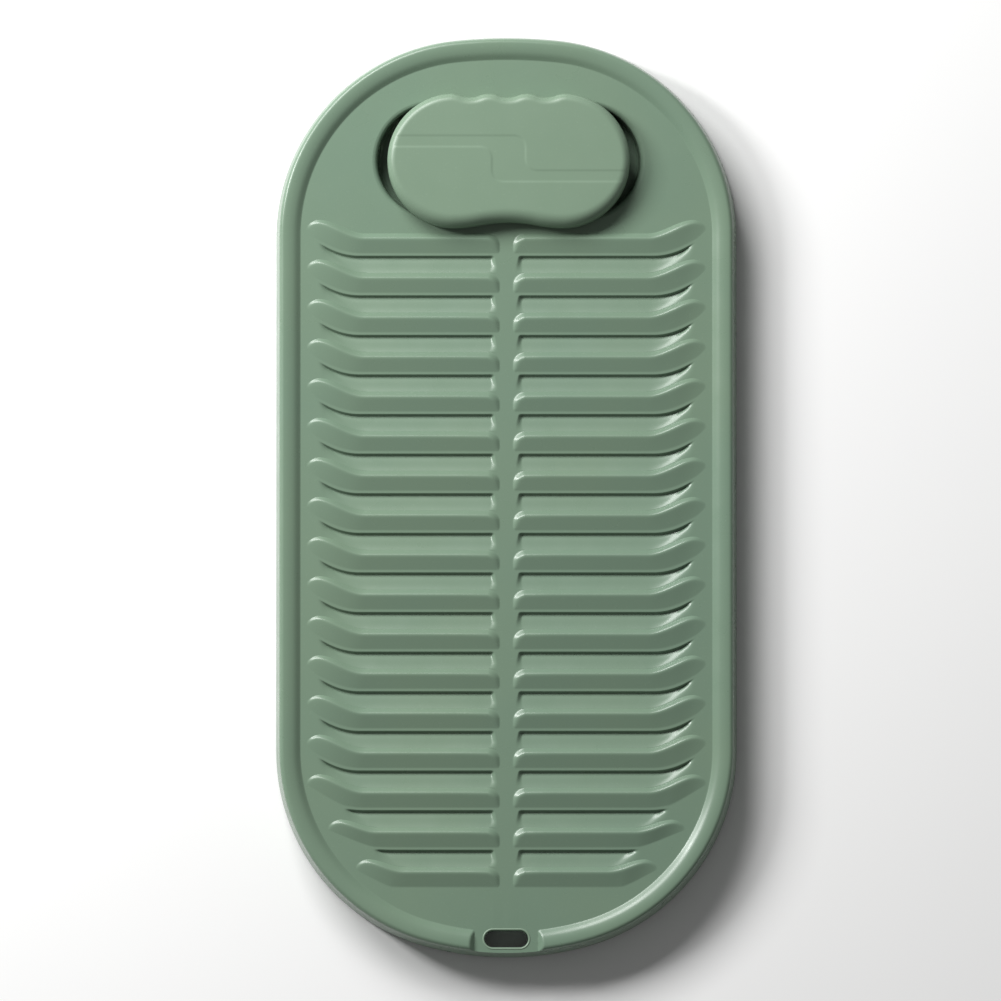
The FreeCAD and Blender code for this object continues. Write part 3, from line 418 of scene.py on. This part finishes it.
def rib_rise(row, across, y):
    """Height of a rib above the face: a curved front, a rounded root corner and a long slope behind."""
    crest = crest_y(row, across)
    front = crest + RIB_FRONT
    foot = foot_y(row, across)
    step = 0.01
    tilt = (crest_y(row, across + step) - crest) / step
    inside = (front - y) / np.sqrt(1 + tilt**2)
    corner_x = ROOT_EDGE + ROOT_CORNER
    corner_y = FIRST_CREST - row * RIB_PITCH + RIB_FRONT - ROOT_CORNER
    from_corner = ROOT_CORNER - np.hypot(corner_x - across, y - corner_y)
    at_root = np.where(y > corner_y, from_corner, across - ROOT_EDGE)
    inside = np.maximum(np.where(across < corner_x, at_root, inside), 0)
    nose_length, nose_run, root_blend = 18, 1.0, 8
    nose = np.sin(np.clip((TIPS[row] - across) / nose_length, 0, 1) * math.pi / 2)
    run = nose_run + (FRONT_RUN - nose_run) * nose
    near_root = eased((corner_x + root_blend / 2 - across) / root_blend)
    run = run + (ROOT_RUN - FRONT_RUN) * near_root
    crisp, root_soft = 0.02, 0.5
    inside = inside**2 / (inside + crisp + root_soft * near_root)
    turn = 1.25
    wall = RIB_HEIGHT * np.sin(np.clip(inside / run, 0, 1) * turn) / math.sin(turn)
    lip_share, shortest_back, ridge_blend = 0.88, 0.5, 0.7
    down = (crest - y) / np.maximum(crest - foot, shortest_back)
    slope = RIB_HEIGHT * np.clip(1 - down / lip_share, 0, 2)
    rise = smooth_min(wall, slope, ridge_blend) * nose
    return np.where((inside <= 0) | (down >= 1), 0, np.maximum(rise, 0))


def groove_drop(row, across, y):
    """Depth of a groove below the face: a steep drop, then a long ramp back up."""
    if row >= len(GROOVE_ENDS):
        return np.zeros_like(across)
    foot, ramp_end = foot_y(row, across), ramp_end_y(row, across)
    below = foot - y
    shortest_groove, shortest_ramp, drop_run = 0.5, 0.4, 1.5
    ramp_bow, floor_blend = 0.03, 0.5
    run = np.maximum(foot - ramp_end, shortest_groove)
    drop = GROOVE_DEPTH * eased(below / drop_run)
    left = np.clip((run - below) / np.maximum(run - drop_run, shortest_ramp), 0, 1.3)
    ramp = GROOVE_DEPTH * (left + ramp_bow * np.sin(2 * math.pi * np.clip(left, 0, 1)))
    depth = smooth_min(drop, ramp, floor_blend)
    up_ramp = np.clip(below / run, 0, 1)
    root_start, root_flare, flare_depth = 4.9, 1.7, 6
    root = root_start + root_flare * np.clip(1 - below / flare_depth, 0, 1)
    root_run, root_spread = 2.0, 2.4
    depth = depth * eased((across - root) / (root_run + root_spread * up_ramp))
    end_run, end_spread = 3.0, 18 if row < FULL_GROOVES else 12
    closing = end_run + end_spread * up_ramp
    depth = depth * eased((GROOVE_ENDS[row] - across) / closing)
    return np.where((below > 0) & (below < run), np.maximum(depth, 0), 0)


def rib_stations(tip, fine):
    """Distances from the spine at which a rib is drawn: close together at its root and its tip."""
    root_step, tip_step = (0.28, 1.0) if fine else (2.0, 4.0)
    start, root_span, tip_span = ROOT_EDGE - 0.5, 7.0, 33.0
    finish = tip + 0.8
    middle_steps = 9 if fine else 5
    near_root = start + np.arange(0, root_span, root_step)
    near_tip = finish - np.arange(tip_span, 0, -tip_step)
    last_few = finish - np.array([0.5, 0.0]) if fine else np.array([finish])
    middle = np.linspace(start + root_span, near_tip[0], middle_steps, endpoint=False)
    return np.concatenate([near_root, middle, near_tip, last_few])


# where lines run along a rib: above its crest, down its back, below its foot and up the groove's ramp
FINE_FRONT = (2.24, RIB_FRONT, 2.05, 1.85, 1.6, 1.2, 0.8, 0.4)
FINE_SLOPE = (0, 0.04, 0.08, 0.12, 0.17, 0.23, 0.32, 0.5, 0.7, 0.78, 0.82, 0.86, 0.9, 0.95, 1)
FINE_DROP = (0.2, 0.4, 0.6, 0.8, 1.0, 1.25, 1.6, 2.1)
FINE_RAMP = (0.07, 0.16, 0.27, 0.39, 0.51, 0.63, 0.75, 0.86, 0.94)
COARSE_FRONT = (2.6, 2.0, 1.0)
COARSE_SLOPE = (0, 0.3, 0.8, 1)
COARSE_DROP = (0.8, 1.6)
COARSE_RAMP = (0.5, 0.9)


def rib_lines(fine):
    """Rows of (across, y, height) that follow every crest and groove of the right-hand column."""
    fronts, slopes, drops, ramps = (
        (FINE_FRONT, FINE_SLOPE, FINE_DROP, FINE_RAMP)
        if fine
        else (COARSE_FRONT, COARSE_SLOPE, COARSE_DROP, COARSE_RAMP)
    )
    below_last = 0.8
    lines = []
    for row in range(RIB_ROWS):
        own = rib_stations(TIPS[row], fine)
        for front in fronts:
            y = crest_y(row, own) + front
            lines.append((own, y, rib_rise(row, own, y)))
        for share in slopes:
            crest, foot = crest_y(row, own), foot_y(row, own)
            y = crest + (foot - crest) * share
            lines.append((own, y, rib_rise(row, own, y)))
        if row == RIB_ROWS - 1:
            y = foot_y(row, own) - below_last
            lines.append((own, y, np.zeros_like(own)))
            continue
        after = rib_stations(TIPS[row + 1], fine)
        for drop in drops:
            y = foot_y(row, own) - drop
            lines.append((own, y, -groove_drop(row, own, y)))
        for share in ramps:
            across = own + (after - own) * share
            top = foot_y(row, across) - drops[-1]
            bottom = crest_y(row + 1, across) + fronts[0]
            y = top + (bottom - top) * share
            lines.append((across, y, -groove_drop(row, across, y)))
    return np.array([np.column_stack(line) for line in lines])


def grid_border(grid):
    """The plan loop round a grid of points."""
    rim = [*grid[0, :-1], *grid[:-1, -1], *grid[-1, :0:-1], *grid[:0:-1, 0]]
    return [(point[0], point[1]) for point in rim]


def rib_field(surface, level, fine):
    """Both columns of ribs at a level; returns the plan loops that they fill."""
    borders = []
    for side in (1, -1):
        grid = rib_lines(fine) * (side, 1, 1) + (0, 0, level)
        surface.add_grid(grid)
        borders.append(grid_border(grid))
    return borders


# ---------------------------------------------------------------- the board

# the pocket and the hanging slot as (centre, length, width)
POCKET = ((1.2, 182.0), 142.5, 59.5)
SLOT = ((0.0, -240.6), 23.5, 9.0)
POCKET_FLOOR = 4.5
POCKET_DRAFT = math.tan(math.radians(2))
POCKET_ROUND, SLOT_ROUND, FLOOR_ROUND = 3.0, 1.2, 2.5
DRAINS = (-34, 0, 34)
DRAIN_LENGTH, DRAIN_WIDTH = 20, 3.5

# the webs and the feet's bosses under the face
WEB_HALF, WEB_LOW, WEB_HIGH = 1.1, 10, BACK + 0.3
LONG_WEB_X, LONG_WEB_Y, LONG_WEB_REACH = 45, -22, 172
CROSS_WEBS, FIRST_CROSS, CROSS_PITCH = 5, 150, 86
CROSS_GAP, LAST_CROSS_GAP = 2.4, 18.5
BOSS_RADIUS, BOSS_GAP = 10.5, 0.2
FOOT_SEAT_RADIUS, FOOT_SEAT_DEPTH = 8.1, 4
STEM_RADIUS, STEM_DEPTH = 3.1, 9.5


def flared_capsule(place, steps, mouth_round, wall_bottom, draft, floor_round):
    """A capsule-shaped cutter with a rounded mouth at the face and a drafted wall."""
    centre, length, width = place
    mouth_tilt, overrun = 10, 1.0
    profile = []
    for angle in np.linspace(90 - mouth_tilt, 0, 7):
        turn = math.radians(angle)
        profile.append((mouth_round * (1 - math.cos(turn)), FACE - mouth_round * (1 - math.sin(turn))))
    top_grow, top_height = profile[0]
    profile.insert(0, (top_grow + overrun, top_height + math.tan(math.radians(mouth_tilt)) * overrun))
    depth = FACE - mouth_round - wall_bottom
    for angle in np.linspace(0, 90, 5) if floor_round else (0,):
        turn = math.radians(angle)
        height = wall_bottom + floor_round * (1 - math.sin(turn))
        profile.append((-draft * depth - floor_round * (1 - math.cos(turn)), height))
    return [(capsule(centre, length + 2 * grow, width + 2 * grow, steps), height) for grow, height in profile]


def underside_additions():
    """Tub, collar, webs and bosses under the face."""
    centre, length, width = POCKET
    tub_round, into_face = 1.5, 1
    corner = tub_round * 0.3
    tub_profile = ((tub_round, LIP), (corner, LIP + corner), (0, LIP + tub_round), (0, FACE - into_face))
    tub = [
        (capsule(centre, length + 2 * (WALL - cut), width + 2 * (WALL - cut), ROUND_STEPS), height)
        for cut, height in tub_profile
    ]
    slot_centre, slot_length, slot_width = SLOT
    collar_wall = 1.9
    collar_plan = capsule(slot_centre, slot_length + 2 * collar_wall, slot_width + 2 * collar_wall)
    collar = [(collar_plan, FACE / 2), (collar_plan, FACE - into_face)]
    items = [loft("tub", tub), loft("collar", collar)]
    for side in (-1, 1):
        plan = rectangle((side * LONG_WEB_X, LONG_WEB_Y), WEB_HALF, LONG_WEB_REACH)
        items.append(loft("web", [(plan, WEB_LOW), (plan, WEB_HIGH)]))
    for step in range(CROSS_WEBS):
        reach = HALF_WIDTH - (CROSS_GAP if step < CROSS_WEBS - 1 else LAST_CROSS_GAP)
        plan = rectangle((0, FIRST_CROSS - CROSS_PITCH * step), reach, WEB_HALF)
        items.append(loft("web", [(plan, WEB_LOW), (plan, WEB_HIGH)]))
    for x, y in FEET:
        plan = disc((x, y), BOSS_RADIUS)
        items.append(loft("boss", [(plan, LIP + BOSS_GAP), (plan, WEB_HIGH)]))
    return merge(items)


def cutters():
    """Pocket, drains, hanging slot, foot seats and stem holes."""
    pocket = flared_capsule(POCKET, ROUND_STEPS, POCKET_ROUND, POCKET_FLOOR, POCKET_DRAFT, FLOOR_ROUND)
    items = [loft("pocket", pocket)]
    for step in DRAINS:
        plan = capsule((POCKET[0][0] + step, POCKET[0][1]), DRAIN_LENGTH, DRAIN_WIDTH)
        items.append(loft("drain", [(plan, 0), (plan, POCKET_FLOOR + 1)]))
    items.append(loft("slot", flared_capsule(SLOT, 24, SLOT_ROUND, 0, 0, 0)))
    for x, y in FEET:
        seat, hole = disc((x, y), FOOT_SEAT_RADIUS), disc((x, y), STEM_RADIUS)
        items.append(loft("seat", [(seat, 0), (seat, FOOT_SEAT_DEPTH)]))
        items.append(loft("hole", [(hole, 0), (hole, STEM_DEPTH)]))
    return merge(items)


FEET = [
    tuple((sum(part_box(name), Vector()) / 2 / MM)[:2])
    for name in ("foot_top_left", "foot_top_right", "foot_middle_left", "foot_middle_right",
                 "foot_low_left", "foot_low_right")
]


def at_pocket_mouth(x, y, z):
    """Whether a place is where the rounded mouth of the pocket starts from the flat face."""
    centre, length, width = POCKET
    beyond = max(abs(x - centre[0]) - (length - width) / 2, 0)
    reach = math.hypot(beyond, y - centre[1]) - width / 2
    return abs(z - FACE) < 0.01 and 0 < reach < POCKET_ROUND


def make_board():
    surface = Surface()
    rings = rim_rings()
    surface.add_grid(rings, closed=True)
    borders = rib_field(surface, FACE, True)
    surface.add_flat(FACE, rings[0][:, :2].tolist(), borders)
    borders = rib_field(surface, BACK, False)
    surface.add_flat(BACK, rings[-1][:, :2].tolist(), borders)
    board = surface.object("board_moulding")
    combine(board, underside_additions(), "UNION")
    combine(board, cutters(), "DIFFERENCE")
    shade(board, on_crease=at_pocket_mouth)
    return board


def make_slot_bead():
    """The rolled lip round the mouth of the hanging slot."""
    centre, length, width = SLOT
    bead_radius, bead_out, bead_sunk = 0.6, 0.75, 0.3
    surface = Surface()
    loops = []
    for angle in np.linspace(0, 2 * math.pi, 13):
        grow = bead_out + bead_radius * math.cos(angle)
        height = FACE - bead_sunk + bead_radius * math.sin(angle)
        plan = capsule(centre, length + 2 * grow, width + 2 * grow)
        loops.append([(x, y, height) for x, y in plan])
    surface.add_grid(np.array(loops), closed=True)
    bead = surface.object("slot_bead")
    shade(bead)
    return bead


# ---------------------------------------------------------------- the brush

handle_low, handle_high = (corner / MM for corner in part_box("brush_handle"))
BRUSH_X = (handle_low.x + handle_high.x) / 2
BRUSH_Y = (handle_low.y + handle_high.y) / 2
HANDLE_LOW, HANDLE_TOP = handle_low.z, handle_high.z
HALF_X, HALF_Y = 65.75, 36.5
BUMP_PITCH, BUMP_DEPTH, WAIST = 20.7, 2.0, 3.0
EDGE_ROUND, LOW_EDGE_ROUND = 4.5, 7.5
# the stepped band: its left and right parts along Y, the step between them along X, and its bends
BAND_LEFT, BAND_RIGHT, BAND_STEP, BAND_BEND = (7.4, 13.5), (-11.6, -5.5), (-9.1, 9.2), 7.0
BAND_DEPTH, BAND_EDGE = 0.2, 1.4
SEAT = (120.2, 46.2)
LEDGE, PEG_X = 5.2, 40
PEG_BOSS_RADIUS, PEG_SOCKET_RADIUS = 4.5, 2.6
PLATE_TOP, HOLLOW_TOP, SOCKET_TOP = 25.5, 32.0, 30.5


def arc_points(start, middle, end, step=0.5):
    """Points along the arc that starts, passes and ends at three places; the end is left out."""
    (x1, y1), (x2, y2), (x3, y3) = start, middle, end
    a, b, c = x1**2 + y1**2, x2**2 + y2**2, x3**2 + y3**2
    twice = 2 * (x1 * (y2 - y3) + x2 * (y3 - y1) + x3 * (y1 - y2))
    x = (a * (y2 - y3) + b * (y3 - y1) + c * (y1 - y2)) / twice
    y = (a * (x3 - x2) + b * (x1 - x3) + c * (x2 - x1)) / twice
    radius = math.hypot(x1 - x, y1 - y)
    first, last = math.atan2(y1 - y, x1 - x), math.atan2(y3 - y, x3 - x)
    left_turn = (x2 - x1) * (y3 - y2) > (y2 - y1) * (x3 - x2)
    turn = (last - first) % (2 * math.pi) if left_turn else -((first - last) % (2 * math.pi))
    count = max(4, math.ceil(abs(turn) * radius / step))
    angles = [first + turn * n / count for n in range(count)]
    return [(x + radius * math.cos(angle), y + radius * math.sin(angle)) for angle in angles]


def handle_stations():
    """The handle's outline as points and outward normals: four finger bumps above, a waist below."""
    lobe, slope = 1.5 * BUMP_PITCH, 0.75 * BUMP_PITCH
    shoulder_drop = 0.28
    middle, shoulder = HALF_Y - BUMP_DEPTH / 2, HALF_Y - shoulder_drop
    quarter = BUMP_PITCH / 4
    pieces = [((HALF_X, 0), (lobe, HALF_Y)), ((5.5 * quarter, shoulder), (5 * quarter, middle))]
    for place in range(4, -5, -2):
        height = HALF_Y if place % 4 else HALF_Y - BUMP_DEPTH
        pieces.append(((place * quarter, height), ((place - 1) * quarter, middle)))
    pieces += [
        ((-5.5 * quarter, shoulder), (-lobe, HALF_Y)),
        ((-HALF_X, 0), (-lobe, -HALF_Y)),
        ((-(lobe + slope) / 2, WAIST / 8 - HALF_Y), (-slope, WAIST / 2 - HALF_Y)),
        ((0, WAIST - HALF_Y), (slope, WAIST / 2 - HALF_Y)),
        (((lobe + slope) / 2, WAIST / 8 - HALF_Y), (lobe, -HALF_Y)),
    ]
    here, points = (lobe, -HALF_Y), []
    for middle_place, end in pieces:
        points += arc_points(here, middle_place, end)
        here = end
    points = np.array(points)
    along = np.roll(points, -1, axis=0) - np.roll(points, 1, axis=0)
    normals = np.column_stack([along[:, 1], -along[:, 0]])
    return points, normals / np.linalg.norm(normals, axis=1)[:, None]


def band_inside(x, y):
    """How far inside the stepped band a place is; negative outside it."""
    under_top = smooth_min(BAND_LEFT[1] - y, BAND_STEP[1] - x, BAND_BEND)
    above = -smooth_min(-under_top, y - BAND_RIGHT[1], BAND_BEND)
    over_bottom = smooth_min(y - BAND_RIGHT[0], x - BAND_STEP[0], BAND_BEND)
    below = -smooth_min(-over_bottom, BAND_LEFT[0] - y, BAND_BEND)
    return np.minimum(above, below)


def make_handle():
    points, normals = handle_stations()
    edge_round = EDGE_ROUND + (LOW_EDGE_ROUND - EDGE_ROUND) * np.clip(-normals[:, 1], 0, 1) ** 1.5
    rings = []
    for inset, height in ((0.8, HANDLE_LOW), (0.25, HANDLE_LOW + 0.2), (0, HANDLE_LOW + 0.8)):
        rings.append(np.column_stack([points - inset * normals, np.full(len(points), height)]))
    for angle in np.linspace(0, math.pi / 2, 14):
        inset = edge_round * (1 - math.cos(angle))
        plan = points - inset[:, None] * normals
        sunk = BAND_DEPTH * eased((band_inside(plan[:, 0], plan[:, 1]) + BAND_EDGE / 2) / BAND_EDGE)
        height = HANDLE_TOP - edge_round * (1 - math.sin(angle)) - sunk * math.sin(angle) ** 2
        rings.append(np.column_stack([plan, height]))
    rings = np.array(rings)
    surface = Surface()
    surface.add_grid(rings, closed=True)
    outer = rings[-1][:, :2]

    def height_at(x, y):
        return HANDLE_TOP - BAND_DEPTH * eased((band_inside(x, y) + BAND_EDGE / 2) / BAND_EDGE)

    wide_step, close_step, band_reach, wide_clear, margin = 3.0, 0.45, 1.3, 2.2, 0.985
    wide = np.array([(x, y) for x in np.arange(-62, 63, wide_step) for y in np.arange(-33, 34, wide_step)])
    close_x, close_y = np.arange(-62, 62, close_step), np.arange(-14, 16, close_step)
    close = np.array([(x, y) for x in close_x for y in close_y])
    close = close[np.abs(band_inside(close[:, 0], close[:, 1])) < band_reach]
    wide = wide[np.abs(band_inside(wide[:, 0], wide[:, 1])) > wide_clear]
    inner = np.vstack([wide, close])
    inner = inner[inside_loop(inner, margin * outer)]
    surface.add_relief(height_at, outer.tolist(), inner.tolist())
    bottom = rings[0][:, :2].tolist()
    surface.add_flat(HANDLE_LOW, bottom, [])
    surface.points = [(x + BRUSH_X, y + BRUSH_Y, z) for x, y, z in surface.points]
    handle = surface.object("handle_moulding")

    centre = (BRUSH_X, BRUSH_Y)
    seat = capsule(centre, *SEAT, ROUND_STEPS)
    hollow = capsule(centre, SEAT[0] - LEDGE, SEAT[1] - LEDGE, ROUND_STEPS)
    combine(handle, loft("seat", [(seat, HANDLE_LOW - 1), (seat, PLATE_TOP)]), "DIFFERENCE")
    combine(handle, loft("hollow", [(hollow, PLATE_TOP - 1), (hollow, HOLLOW_TOP)]), "DIFFERENCE")
    for side in (-1, 1):
        place = (BRUSH_X + side * PEG_X, BRUSH_Y)
        boss, socket = disc(place, PEG_BOSS_RADIUS), disc(place, PEG_SOCKET_RADIUS)
        combine(handle, loft("boss", [(boss, PLATE_TOP), (boss, HOLLOW_TOP + 1)]), "UNION")
        combine(handle, loft("socket", [(socket, PLATE_TOP - 1), (socket, SOCKET_TOP)]), "DIFFERENCE")
    shade(handle)
    return handle


BRISTLE_ROWS = 6
TUFT_PITCH = 8.0
TUFT_TIP = 1.7
TUFT_RADIUS, TUFT_SPIRAL, TUFT_SPLAY = 1.0, 2.4, 1.42
STRANDS, STRAND_SIDES = 26, 5
# a filament as (share of its length from the root, radius)
STRAND_TAPER = ((0, 0.14), (0.35, 0.135), (0.7, 0.125), (0.97, 0.11), (1, 0.07))


def make_strands(row, chance):
    """A row of tufts as separate tapered filaments that splay a little towards their tips."""
    low, high = (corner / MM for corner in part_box(f"bristle_row_{row}"))
    first, last = low.x + TUFT_TIP, high.x - TUFT_TIP
    tufts = round((last - first) / TUFT_PITCH) + 1
    row_y = (low.y + high.y) / 2
    surface = Surface()
    corners = np.linspace(0, 2 * math.pi, STRAND_SIDES, endpoint=False)
    for x in np.linspace(first, last, tufts):
        for strand in range(STRANDS):
            away = TUFT_RADIUS * math.sqrt((strand + 0.5) / STRANDS)
            angle = TUFT_SPIRAL * strand + chance.uniform(-0.3, 0.3)
            splay = TUFT_SPLAY + chance.uniform(-0.12, 0.12)
            swung = angle + chance.uniform(-0.15, 0.15)
            tip_z = low.z + chance.uniform(0, 0.45)
            rings = []
            for share, radius in STRAND_TAPER:
                reach = away * (1 + (splay - 1) * share**1.5)
                turn = angle + (swung - angle) * share
                middle_x = x + reach * math.cos(turn)
                middle_y = row_y + reach * math.sin(turn)
                z = high.z + (tip_z - high.z) * share
                rings.append(
                    [(middle_x + radius * math.cos(a), middle_y + radius * math.sin(a), z) for a in corners]
                )
            surface.add_grid(np.array(rings), closed=True)
            surface.add(rings[0], [tuple(range(STRAND_SIDES))])
            surface.add(rings[-1], [tuple(range(STRAND_SIDES))])
    strands = surface.object(f"strands_{row}")
    shade(strands, 50)
    return strands


# ---------------------------------------------------------------- materials


def new_material(name):
    material = bpy.data.materials.new(name)
    material.use_nodes = True
    nodes = material.node_tree.nodes
    return material, nodes, material.node_tree.links, nodes["Principled BSDF"]


def noise(nodes, links, place, scale, detail=3.0, roughness=0.5):
    texture = nodes.new("ShaderNodeTexNoise")
    texture.inputs["Scale"].default_value = scale
    texture.inputs["Detail"].default_value = detail
    texture.inputs["Roughness"].default_value = roughness
    links.new(place, texture.inputs["Vector"])
    return texture.outputs["Fac"]


def remap(nodes, links, value, low, high, to_low, to_high):
    """A value carried from one range to another, held at its ends."""
    ranged = nodes.new("ShaderNodeMapRange")
    for socket, number in zip(ranged.inputs[1:5], (low, high, to_low, to_high)):
        socket.default_value = number
    links.new(value, ranged.inputs["Value"])
    return ranged.outputs["Result"]


def tinted(nodes, links, colour, amount, other):
    """A colour mixed towards another by a varying amount."""
    mix = nodes.new("ShaderNodeMix")
    mix.data_type = "RGBA"
    links.new(amount, mix.inputs["Factor"])
    if isinstance(colour, tuple):
        mix.inputs["A"].default_value = (*colour, 1)
    else:
        links.new(colour, mix.inputs["A"])
    mix.inputs["B"].default_value = (*other, 1)
    return mix.outputs["Result"]


def grained(nodes, links, shader, height, strength, distance):
    """Tilts a surface's normals by a fine pattern of heights."""
    bump = nodes.new("ShaderNodeBump")
    bump.inputs["Strength"].default_value = strength
    bump.inputs["Distance"].default_value = distance
    links.new(height, bump.inputs["Height"])
    links.new(bump.outputs["Normal"], shader.inputs["Normal"])


def moulded_plastic(name, colour, sheen_colour, gloss):
    """Satin moulded polypropylene: a fine spark-eroded grain, a faint cloudy tone and paler specks."""
    material, nodes, links, shader = new_material(name)
    place = nodes.new("ShaderNodeTexCoord").outputs["Object"]
    cloud = noise(nodes, links, place, scale=14, detail=2)
    cloudy = remap(nodes, links, cloud, low=0.35, high=0.7, to_low=0, to_high=0.35)
    clouded = tinted(nodes, links, colour, cloudy, sheen_colour)
    speckle = noise(nodes, links, place, scale=900, detail=1)
    specks = remap(nodes, links, speckle, low=0.66, high=0.74, to_low=0, to_high=0.12)
    gain, lift = 1.35, 0.02
    paler = tuple(min(1, gain * part + lift) for part in colour)
    links.new(tinted(nodes, links, clouded, specks, paler), shader.inputs["Base Color"])
    smear = noise(nodes, links, place, scale=60, detail=4)
    smeared = remap(nodes, links, smear, low=0.3, high=0.7, to_low=gloss - 0.03, to_high=gloss + 0.05)
    links.new(smeared, shader.inputs["Roughness"])
    grain = noise(nodes, links, place, scale=2600, detail=2)
    grained(nodes, links, shader, grain, strength=0.06, distance=0.00012)
    shader.inputs["IOR"].default_value = 1.49
    return material


def soft_rubber():
    """Matt dark rubber with a dusty bloom."""
    material, nodes, links, shader = new_material("foot_rubber")
    place = nodes.new("ShaderNodeTexCoord").outputs["Object"]
    rubber, dust = (0.02, 0.022, 0.021), (0.06, 0.062, 0.06)
    patches = noise(nodes, links, place, scale=220, detail=4)
    bloom = remap(nodes, links, patches, low=0.4, high=0.7, to_low=0, to_high=0.5)
    links.new(tinted(nodes, links, rubber, bloom, dust), shader.inputs["Base Color"])
    grain = noise(nodes, links, place, scale=1500, detail=3)
    grained(nodes, links, shader, grain, strength=0.3, distance=0.0002)
    shader.inputs["Roughness"].default_value = 0.75
    return material


def nylon_filament():
    """Off-white nylon, a little yellowed at random."""
    material, nodes, links, shader = new_material("bristle_nylon")
    place = nodes.new("ShaderNodeTexCoord").outputs["Object"]
    fresh, yellowed = (0.74, 0.77, 0.7), (0.62, 0.66, 0.56)
    patches = noise(nodes, links, place, scale=500, detail=2)
    aged = remap(nodes, links, patches, low=0.35, high=0.7, to_low=0, to_high=1)
    links.new(tinted(nodes, links, fresh, aged, yellowed), shader.inputs["Base Color"])
    shader.inputs["Roughness"].default_value = 0.4
    return material


def drawn_wire():
    """Flat drawn steel wire with a finely mottled gloss."""
    material, nodes, links, shader = new_material("anchor_steel")
    place = nodes.new("ShaderNodeTexCoord").outputs["Object"]
    dark_steel, pale_steel = (0.5, 0.5, 0.5), (0.62, 0.61, 0.6)
    mottle = noise(nodes, links, place, scale=3000, detail=2)
    mottled = remap(nodes, links, mottle, low=0.3, high=0.7, to_low=0.25, to_high=0.45)
    links.new(mottled, shader.inputs["Roughness"])
    links.new(tinted(nodes, links, dark_steel, mottle, pale_steel), shader.inputs["Base Color"])
    shader.inputs["Metallic"].default_value = 1
    return material


SAGE = (0.172, 0.250, 0.176)
SAGE_COOL = (0.150, 0.234, 0.176)
SAGE_PALE = (0.186, 0.270, 0.190)
# a paler sage for the bead round the mouth of the hanging slot, the same all round it
SAGE_PALER = (0.235, 0.32, 0.24)
board_plastic = moulded_plastic("board_plastic", SAGE, SAGE_COOL, gloss=0.29)
brush_plastic = moulded_plastic("brush_plastic", SAGE_PALE, SAGE, gloss=0.35)
plate_plastic = moulded_plastic("plate_plastic", SAGE, SAGE_COOL, gloss=0.48)
bead_plastic = moulded_plastic("bead_plastic", SAGE_PALER, SAGE, gloss=0.35)
foot_rubber = soft_rubber()
bristle_nylon = nylon_filament()
anchor_steel = drawn_wire()


def finish_with(item, material):
    item.data.materials.clear()
    item.data.materials.append(material)


board = make_board()
finish_with(board, board_plastic)
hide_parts("board_shell")
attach(board, "board")

bead = make_slot_bead()
finish_with(bead, bead_plastic)
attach(bead, "board")

handle = make_handle()
finish_with(handle, brush_plastic)
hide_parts("brush_handle")
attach(handle, "brush")

chance = random.Random(7)
for row in range(1, BRISTLE_ROWS + 1):
    strands = make_strands(row, chance)
    finish_with(strands, bristle_nylon)
    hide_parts(f"bristle_row_{row}")
    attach(strands, "brush")

for name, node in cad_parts.items():
    if name.startswith("foot"):
        finish_with(node, foot_rubber)
    elif name.startswith("anchor"):
        finish_with(node, anchor_steel)
    elif name == "bristle_plate":
        finish_with(node, plate_plastic)

# ---------------------------------------------------------------- the studio


def make_floor():
    half = 6.0
    mesh = bpy.data.meshes.new("floor")
    corners = [(-half, -half, 0), (half, -half, 0), (half, half, 0), (-half, half, 0)]
    mesh.from_pydata(corners, [], [(0, 1, 2, 3)])
    floor = bpy.data.objects.new("floor", mesh)
    bpy.context.scene.collection.objects.link(floor)
    material, nodes, links, shader = new_material("floor_paper")
    place = nodes.new("ShaderNodeTexCoord").outputs["Object"]
    paper, warm_paper = (0.9, 0.9, 0.9), (0.93, 0.93, 0.92)
    tone = noise(nodes, links, place, scale=3, detail=2)
    links.new(tinted(nodes, links, paper, tone, warm_paper), shader.inputs["Base Color"])
    shader.inputs["Roughness"].default_value = 0.9
    finish_with(floor, material)


def area_light(name, place, aim, width, height, power):
    """A soft rectangular light at a place, turned to face a point."""
    light = bpy.data.lights.new(name, "AREA")
    light.shape = "RECTANGLE"
    light.size, light.size_y = width, height
    light.energy = power
    item = bpy.data.objects.new(name, light)
    item.location = place
    item.rotation_euler = (Vector(aim) - Vector(place)).to_track_quat("-Z", "Y").to_euler()
    bpy.context.scene.collection.objects.link(item)


def make_camera():
    """Almost straight above, three degrees over towards the hanging slot, with a long lens."""
    camera = bpy.data.cameras.new("camera")
    distance, tilt = 14.0, math.radians(3)
    view_width = 0.5436
    camera.sensor_width = 36
    camera.lens = camera.sensor_width * distance / view_width
    aim = Vector((-0.0032, -0.0016, 0.0))
    item = bpy.data.objects.new("camera", camera)
    item.location = aim + distance * Vector((0, -math.sin(tilt), math.cos(tilt)))
    item.rotation_euler = (tilt, 0, 0)
    camera.clip_end = 40
    bpy.context.scene.collection.objects.link(item)
    bpy.context.scene.camera = item


def make_world(strength):
    world = bpy.data.worlds.new("studio")
    world.use_nodes = True
    background = world.node_tree.nodes["Background"]
    background.inputs["Color"].default_value = (1, 1, 1, 1)
    background.inputs["Strength"].default_value = strength
    bpy.context.scene.world = world


make_floor()
make_world(strength=0.145)
area_light("key", (-0.76, 1.32, 1.22), aim=(0, 0, 0), width=1.1, height=0.8, power=40)
area_light("side", (-1.25, 0.66, 0.95), aim=(0, 0, 0), width=0.25, height=0.5, power=19)
make_camera()
bpy.context.scene.view_settings.view_transform = "Standard"
